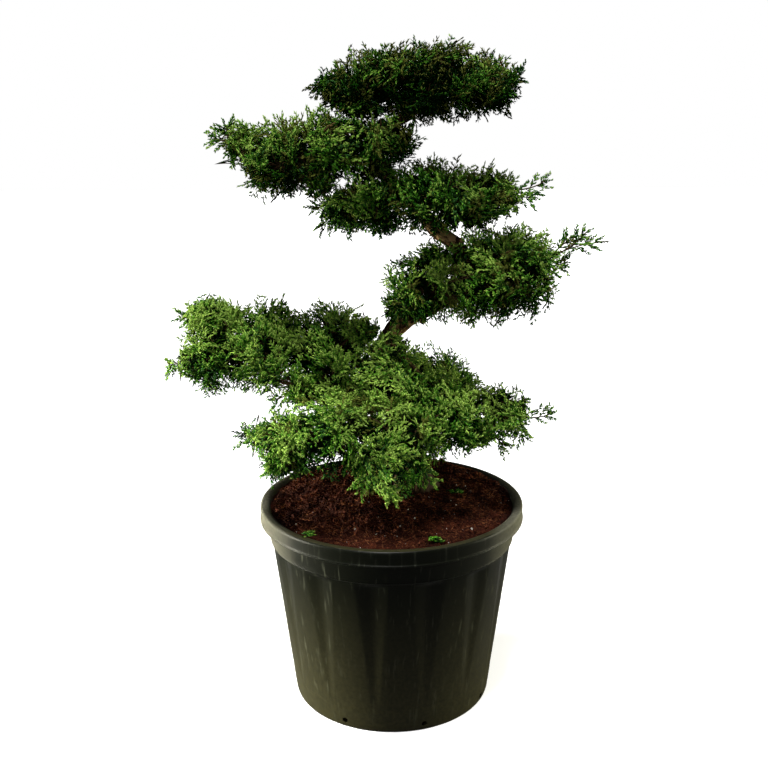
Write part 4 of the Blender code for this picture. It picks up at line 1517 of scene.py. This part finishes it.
@dataclass
class Foliage:
    """The ten pads, grown from their limbs by one rule, and clippings on the soil.

    From a limb's end a stem runs to the heart of the first lobe, branches go on to the other
    lobes' hearts, branchlets spread from every heart, and each spray hangs on a twig from the
    nearest branchlet's end. A spray's heading adds up stand times the way out of its lobe, lean
    times a way along the lobe, which lift turns upwards, and pull times the way from its
    branchlet. Light and dark patches are patch_size across. The two numbers after the patch
    seed are how much lighter a lobe's surface is than its inside, where the inner growth is
    older and also in painted shade, and how much lighter its top is than its underside, which
    is in painted shade.

    The stem and the branches taper to wood_taper of their radius, and wood_bend and wood_sag
    are how far the wood bends by chance and sags. No spray of a lobe ends within trunk_gap of
    the trunk, less than soil_gap above the ground, or far inside another lobe: overlap and
    pad_overlap are how far out it must be there, in its own pad and in others.
    """

    limbs: Limbs
    soil: Soil
    pads: tuple[Pad, ...] = PADS
    clipped: tuple[tuple[float, float], ...] = (
        (-0.147, -0.182), (0.083, -0.210), (0.126, -0.013),
    )
    sprays_per_area: float = 10000.0
    filling_per_area: float = 6400.0
    underside_cut: float = 0.05
    branchlets: int = 16
    stand: float = 0.55
    lean: float = 0.62
    lift: float = 0.30
    pull: float = 0.45
    lengths: tuple[float, float] = (0.050, 0.074)
    patch_size: float = 0.06
    patch_strength: float = 0.28
    patch_seed: int = 8
    newer_outside_shaded_inside: float = 0.30
    painted_shade_below: float = 0.36
    overlap: float = 0.86
    pad_overlap: float = 0.92
    trunk_gap: float = 0.012
    soil_gap: float = 0.020
    leader_sprays: int = 6
    leader_radii: tuple[float, float] = (0.0019, 0.0008)
    branchlet_radii: tuple[float, float] = (0.0024, 0.0013)
    wood_taper: float = 0.6
    wood_bend: float = 0.005
    wood_sag: float = 0.004
    seed: int = 300
    tints: list[bpy.types.Material] = field(default_factory=list)

    def frame_of(self, pad: Pad, rng: np.random.Generator) -> tuple[list[Skin], Points]:
        """A pad's stem, branches and branchlets.

        Args:
            pad: which pad.
            rng: where the chance comes from.

        Returns:
            The wood, and the branchlets' ends, where the twigs start.
        """
        end = self.limbs.end(pad.name)
        hearts = pad.centres()
        steps, thin = 12, end.radius * self.wood_taper
        start = end.point - end.heading * 0.004
        bend = end.heading[None] * 0.008 - UP * self.wood_sag
        stem = curved(start[None], hearts[:1], bend, steps)
        skins = [round_tubes(stem, np.linspace(end.radius, thin, steps)[None], 10)]
        if len(hearts) > 1:
            first = np.repeat(hearts[:1], len(hearts) - 1, axis=0)
            bends = rng.normal(0.0, self.wood_bend, first.shape)
            paths = curved(first, hearts[1:], bends, steps)
            radii = np.tile(np.linspace(thin, thin * self.wood_taper, steps), (len(first), 1))
            skins.append(round_tubes(paths, radii, 8))
        whose = np.repeat(np.arange(len(hearts)), self.branchlets)
        ways = dealt(len(whose), 0.5, rng)
        ways = ways[rng.permutation(len(ways))]
        reach = rng.uniform(0.42, 0.68, (len(ways), 1))
        nodes = hearts[whose] + pad.halves()[whose] * ways * reach
        bends = rng.normal(0.0, self.wood_bend, nodes.shape) - UP * self.wood_sag
        steps = 7
        paths = curved(hearts[whose], nodes, bends, steps)
        radii = np.tile(np.linspace(*self.branchlet_radii, steps), (len(nodes), 1))
        skins.append(round_tubes(paths, radii, 5))
        return skins, nodes

    def clear(self, pad: Pad, tips: Points, whose: Indices, ways_out: Points) -> Choice:
        """Which sprays are kept, by their tips.

        A tip is dropped inside another lobe of its pad, nearer to another pad's middle than to
        its own, or close to the trunk or the soil.

        Args:
            pad: the sprays' pad.
            tips: their tips.
            whose: the lobe of each.
            ways_out: how far out each is in its lobe, at most 1, which is the surface.

        Returns:
            True for each spray that is kept.
        """
        own = pad.measures(tips)
        other = own.copy()
        other[np.arange(len(tips)), whose] = np.inf
        kept = other.min(axis=1) > self.overlap * ways_out
        nearest = own.min(axis=1)
        for neighbour in self.pads:
            if neighbour.name != pad.name:
                theirs = neighbour.measures(tips).min(axis=1)
                kept &= theirs > np.minimum(nearest, self.pad_overlap)
        line, radii = self.limbs.trunk_line(8)
        gap = np.linalg.norm(tips[:, None] - line, axis=-1) - radii
        kept &= gap.min(axis=1) > self.trunk_gap
        return kept & (tips[:, 2] > GROUND + self.soil_gap)

    def around(
        self, pad: Pad, density: float, cut: float, rng: np.random.Generator
    ) -> tuple[Points, Indices]:
        """Directions out of each lobe's heart, more for a larger lobe.

        Args:
            pad: which pad.
            density: directions to the measure of a lobe's surface.
            cut: height of the part left out underneath, as in dealt.
            rng: where the chance comes from.

        Returns:
            The directions, and the lobe of each.
        """
        counts = np.round(pad.areas() * density).astype(int)
        ways = np.concatenate([dealt(int(count), cut, rng) for count in counts])
        return ways, np.repeat(np.arange(len(counts)), counts)

    def grown(self, pad: Pad, nodes: Points, rng: np.random.Generator) -> tuple[Sprays, Skin]:
        """A pad's sprays and the twigs that carry them.

        Most sprays end just outside their lobe, some inside it and a few well out. Those on one
        branchlet lean much the same way. They are tinted lighter further out, where growth is
        newer, and darker deep inside and underneath as painted shade.

        Args:
            pad: which pad.
            nodes: the branchlets' ends.
            rng: where the chance comes from.

        Returns:
            The sprays and the twigs.
        """
        halves, hearts = pad.halves(), pad.centres()
        ways, whose = self.around(pad, self.sprays_per_area, self.underside_cut, rng)
        count = len(ways)
        layer = rng.uniform(0.0, 1.0, count)
        reach = np.zeros(count)
        for least, most, bounds in REACHES:
            inside = (layer >= least) & (layer < most)
            reach = np.where(inside, rng.uniform(*bounds, count), reach)
        taller = np.where(ways[:, 2:] > 0.0, 1.13, 1.20) ** np.array([0.0, 0.0, 1.0])
        tips = hearts[whose] + halves[whose] * ways * reach[:, None] * taller
        kept = self.clear(pad, tips, whose, np.minimum(reach, 1.0))
        tips, whose, reach, ways = tips[kept], whose[kept], reach[kept], ways[kept]
        count = len(tips)
        normals = unit(ways / halves[whose])
        nearest = nearest_to(tips, nodes)
        outward = unit(tips - nodes[nearest])
        along = 0.9 * rng.normal(size=nodes.shape)[nearest] + UP * self.lift
        along = along + 0.5 * rng.normal(size=(count, 3))
        along = unit(along - normals * np.sum(along * normals, axis=1, keepdims=True))
        heading = unit(normals * self.stand + along * self.lean + outward * self.pull)
        lengths = rng.uniform(*self.lengths, count) * np.where(reach > 0.98, 1.0, 0.85)
        roots = tips - heading * lengths[:, None]
        faces = normals + rng.normal(0.0, 0.40, (count, 3))
        across, along = tips[:, 0] / self.patch_size, (tips[:, 1] + tips[:, 2]) / self.patch_size
        patches = smooth_noise(across + 40, along + 40, self.patch_seed)
        # Shades: each pad's painted light, lighter further out in the lobe (newer growth outside,
        # painted shade inside), lighter on top than underneath (painted shade below), random
        # patches and chance.
        rise = (tips[:, 2] - hearts[whose, 2]) / halves[whose, 2]
        shades = 0.08 + pad.painted_light + self.newer_outside_shaded_inside * smoothstep((reach - 0.70) / 0.35)
        shades = shades + self.painted_shade_below * smoothstep((rise + 0.9) / 1.5)
        shades = shades + self.patch_strength * patches + rng.normal(0.04, 0.11, count)
        bends = rng.normal(0.0, 0.004, (count, 3))
        paths = curved(nodes[nearest], roots + heading * 0.004, bends, 4)
        radii = np.tile([0.0010, 0.0009, 0.0008, 0.0007], (count, 1))
        return Sprays(roots, heading, faces, lengths, shades), round_tubes(paths, radii, 3)

    def leaders(self, pad: Pad, nodes: Points, rng: np.random.Generator) -> tuple[Sprays, Skin]:
        """The long shoots that reach a pad's far tips, with sprays to left and right in turn.

        Args:
            pad: which pad.
            nodes: the branchlets' ends.
            rng: where the chance comes from.

        Returns:
            The sprays on the shoots, and the shoots.
        """
        tips = np.array(pad.far_tips)
        count, each = len(tips), self.leader_sprays
        nearest = nearest_to(tips, nodes)
        starts = nodes[nearest]
        span = np.linalg.norm(tips - starts, axis=1)
        bend = rng.normal(0.0, 0.05, tips.shape) * span[:, None] - UP * 0.06 * span[:, None]
        steps = 25
        paths = curved(starts, tips, bend, steps)
        radii = np.tile(np.linspace(*self.leader_radii, steps), (count, 1))
        ahead, _, _ = path_frames(paths)
        places = np.linspace((steps - 1) * pad.bare, steps - 3, each).round().astype(int)
        root = paths[:, places].reshape(-1, 3)
        way = ahead[:, places].reshape(-1, 3)
        face = unit(np.array([0.0, -1.0, 0.8]) + rng.normal(0.0, 0.25, way.shape))
        side = unit(np.cross(face, way))
        sign = np.tile(in_turn(each), count)[:, None]
        turn = rng.uniform(0.45, 0.80, (len(root), 1))
        turn[each - 1 :: each] = 0.05
        heading = unit(way * np.cos(turn) + side * sign * np.sin(turn))
        length = rng.uniform(0.030, 0.045, len(root))
        length = length * np.tile(np.linspace(1.0, 0.75, each), count)
        root[each - 1 :: each] -= way[each - 1 :: each] * 0.012
        # Each pad's painted light is added here too.
        shades = 0.62 + pad.painted_light + rng.normal(0.0, 0.08, len(root))
        sprays = Sprays(root, heading, face, length, shades, thick=0.0016, opening=0.6)
        return sprays, round_tubes(paths, radii, 5)

    def filling(self, pad: Pad, rng: np.random.Generator) -> Sprays:
        """The old growth inside a pad, tinted near black, partly its own dark colour and partly
        painted shade: coarse sprays with no tips of their own.

        Args:
            pad: which pad.
            rng: where the chance comes from.

        Returns:
            The sprays, all of them rooted well inside the pad.
        """
        halves, hearts = pad.halves(), pad.centres()
        ways, whose = self.around(pad, self.filling_per_area, 0.0, rng)
        reach = rng.uniform(0.50, 0.94, len(ways))
        tips = hearts[whose] + halves[whose] * ways * reach[:, None]
        heading = unit(unit(ways / halves[whose]) + rng.normal(0.0, 0.45, ways.shape))
        lengths = rng.uniform(0.040, 0.064, len(tips))
        roots = tips - heading * lengths[:, None]
        kept = self.clear(pad, tips, whose, reach) & (pad.measures(roots).min(axis=1) < 0.75)
        roots, heading, lengths = roots[kept], heading[kept], lengths[kept]
        faces = rng.normal(0.0, 1.0, roots.shape)
        # Near-black tints: the inside's old growth, darkened further as painted shade.
        shades = rng.uniform(-0.20, 0.10, len(roots))
        return Sprays(roots, heading, faces, lengths, shades, tips_to_a_shoot=0, thick=0.0022)

    def clippings(self, rng: np.random.Generator) -> Skin:
        """Green clippings that lie flat on the soil: a few short sprays to a heap.

        Args:
            rng: where the chance comes from.

        Returns:
            All the heaps as one surface.
        """
        x, y = np.repeat(np.array(self.clipped), 6, axis=0).T
        x, y = x + rng.normal(0.0, 0.007, len(x)), y + rng.normal(0.0, 0.005, len(y))
        turn = rng.uniform(0.0, math.tau, len(x))
        heading = unit(facing(turn, rng.uniform(0.0, 0.15, len(x))))
        lengths = rng.uniform(0.018, 0.032, len(x))
        roots = np.stack([x, y, self.soil.height(x, y) + 0.0065], axis=-1)
        roots = roots - heading * lengths[:, None] / 2
        faces = UP + rng.normal(0.0, 0.2, heading.shape)
        shades = rng.uniform(0.35, 0.75, len(x))
        return Sprays(roots, heading, faces, lengths, shades, thick=0.0014).skin(rng, brown=0.0)

    def dress_pad(self, pad: Pad, twig: bpy.types.Material, seed: int) -> int:
        """Makes a pad's wood and leaves.

        Args:
            pad: which pad.
            twig: the finish of its wood.
            seed: where its chance starts.

        Returns:
            How many triangles its leaves have.
        """
        rng = np.random.default_rng(seed)
        wood, nodes = self.frame_of(pad, rng)
        sprays, twigs = self.grown(pad, nodes, rng)
        feathers, shoots = self.leaders(pad, nodes, rng)
        outer, far = sprays.skin(rng, olive=pad.olive), feathers.skin(rng, brown=0.0)
        leaves = Skin.joined([outer, far, self.filling(pad, rng).skin(rng)])
        replaced = [f"foliage_{pad.name}"]
        add_piece(f"leaves_{pad.name}", leaves, self.tints, replaced)
        add_piece(f"twigs_{pad.name}", Skin.joined([*wood, twigs, shoots]), [twig])
        return len(leaves.triangles)

    def dress(self) -> None:
        """Makes all the pads and the clippings."""
        self.tints = [LeafFinish(tint).make() for tint in Tint]
        twig = EarthFinish("twig_bark", (0.022, 0.013, 0.006), (0.110, 0.068, 0.030), 0.8).make()
        total = 0
        for i, pad in enumerate(self.pads):
            total += self.dress_pad(pad, twig, self.seed + i)
        cut = self.clippings(np.random.default_rng(self.seed))
        add_piece("clippings", cut, self.tints)
        log.info("leaves in all: %d triangles", total)


@dataclass(frozen=True)
class Lamp:
    """One soft box: where it stands, where it aims, its sides and its power.

    spread is the angle in degrees over which it shines, and colour is its light's colour.
    """

    name: str
    place: Place
    aim: Place
    size: tuple[float, float]
    power: float
    spread: float = 180.0
    colour: Colour = (1.0, 1.0, 1.0)

    def make(self) -> None:
        """Adds the lamp to the scene."""
        light = bpy.data.lights.new(self.name, "AREA")
        light.spread = math.radians(self.spread)
        light.color = self.colour
        light.shape = "RECTANGLE"
        light.size, light.size_y = self.size
        light.energy = self.power
        lamp = add_object(self.name, light)
        lamp.location = self.place
        way = Vector(self.aim) - Vector(self.place)
        lamp.rotation_euler = way.to_track_quat("-Z", "Y").to_euler()


@dataclass
class Studio:
    """A pale floor, a pale surround, soft lamps, and the camera at the reference's angle.

    The camera's pitch, heading and roll, and the key light's width, are in degrees. floor_glow
    is how strongly the camera sees the floor shine, and glow how strongly the surround lights
    the scene.
    """

    lens: float = 47.0
    camera_place: Place = (0.0, -1.870, 1.128)
    pitch: float = 14.77
    heading: float = 0.40
    roll: float = -0.344
    floor_size: float = 30.0
    floor_glow: float = 0.7
    glow: float = 0.04
    key_power: float = 4.2
    key_width: float = 14.0
    key_way: Place = (0.07, 0.22, -1.0)
    lamps: tuple[Lamp, ...] = (
        Lamp(
            "left_box", (-2.2, 0.1, 0.40), (0.0, 0.0, 0.12), (0.8, 0.8), 20.0,
            spread=46.0, colour=(1.0, 0.97, 0.80),
        ),
        Lamp(
            "right_box", (2.3, 0.4, 0.40), (0.0, 0.0, 0.12), (0.6, 0.8), 6.6,
            spread=46.0, colour=(1.0, 0.97, 0.70),
        ),
        Lamp("front_box", (-0.5, -2.6, 1.5), (0.0, 0.0, 0.55), (1.2, 0.9), 11.0),
    )

    def key(self) -> None:
        """Adds the main light: a broad one from overhead and a little in front."""
        light = bpy.data.lights.new("overhead", "SUN")
        light.energy, light.angle = self.key_power, math.radians(self.key_width)
        way = Vector(self.key_way)
        add_object("overhead", light).rotation_euler = way.to_track_quat("-Z", "Y").to_euler()

    def camera(self) -> None:
        """Adds the camera, turned by its heading, pitch and roll in that order."""
        lens = bpy.data.cameras.new("camera")
        lens.lens, lens.sensor_width = self.lens, 36.0
        camera = add_object("camera", lens)
        turned = (
            Matrix.Rotation(math.radians(self.heading), 4, "Z")
            @ Matrix.Rotation(math.radians(90.0 - self.pitch), 4, "X")
            @ Matrix.Rotation(math.radians(self.roll), 4, "Z")
        )
        camera.matrix_world = Matrix.Translation(self.camera_place) @ turned
        bpy.context.scene.camera = camera

    def floor(self) -> None:
        """Adds the floor, a square round the origin.

        Only the camera sees it pale and glowing. To all other light it is dark grey, so it
        doesn't light the object from below.
        """
        half = self.floor_size / 2
        corners = [(-half, -half, 0.0), (half, -half, 0.0), (half, half, 0.0), (-half, half, 0.0)]
        mesh = bpy.data.meshes.new("floor")
        mesh.from_pydata(corners, [], [(0, 1, 2, 3)])
        floor = add_object("floor", mesh)
        recipe = Recipe("floor", 0.9, 0.2)
        seen = recipe.add("ShaderNodeLightPath", {}).outputs["Is Camera Ray"]
        recipe.colour(recipe.mixed(seen, (0.10, 0.10, 0.10), (0.80, 0.80, 0.80)))
        strength = recipe.ranged(seen, 0.0, self.floor_glow, 0.0, 1.0)
        recipe.feed(
            recipe.shader,
            {"Emission Color": (1.0, 1.0, 1.0, 1.0), "Emission Strength": strength},
        )
        mesh.materials.append(recipe.material)

    def surround(self) -> None:
        """Sets the world round the scene: white to the camera, a faint glow to all else."""
        world = bpy.data.worlds.new("surround")
        world.use_nodes = True
        tree = world.node_tree
        sky = next(one for one in tree.nodes if one.type == "BACKGROUND")
        sky.inputs["Color"].default_value = (1.0, 1.0, 1.0, 1.0)
        seen = tree.nodes.new("ShaderNodeLightPath").outputs["Is Camera Ray"]
        strength = tree.nodes.new("ShaderNodeMapRange")
        tree.links.new(seen, strength.inputs["Value"])
        strength.inputs["To Min"].default_value = self.glow
        strength.inputs["To Max"].default_value = 1.0
        tree.links.new(strength.outputs["Result"], sky.inputs["Strength"])
        bpy.context.scene.world = world
        bpy.context.scene.view_settings.view_transform = "Standard"

    def build(self) -> None:
        """Makes the whole studio."""
        self.floor()
        self.surround()
        self.camera()
        self.key()
        for lamp in self.lamps:
            lamp.make()


def main() -> None:
    """Builds the studio, the pot, the soil, the limbs and the foliage, in that order."""
    logging.basicConfig(level=logging.INFO, format="%(name)s: %(message)s")
    Studio().build()
    Pot().dress()
    soil = Soil()
    soil.dress()
    limbs = Limbs()
    limbs.dress()
    Foliage(limbs, soil).dress()
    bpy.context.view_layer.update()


if __name__ == "__main__":
    main()
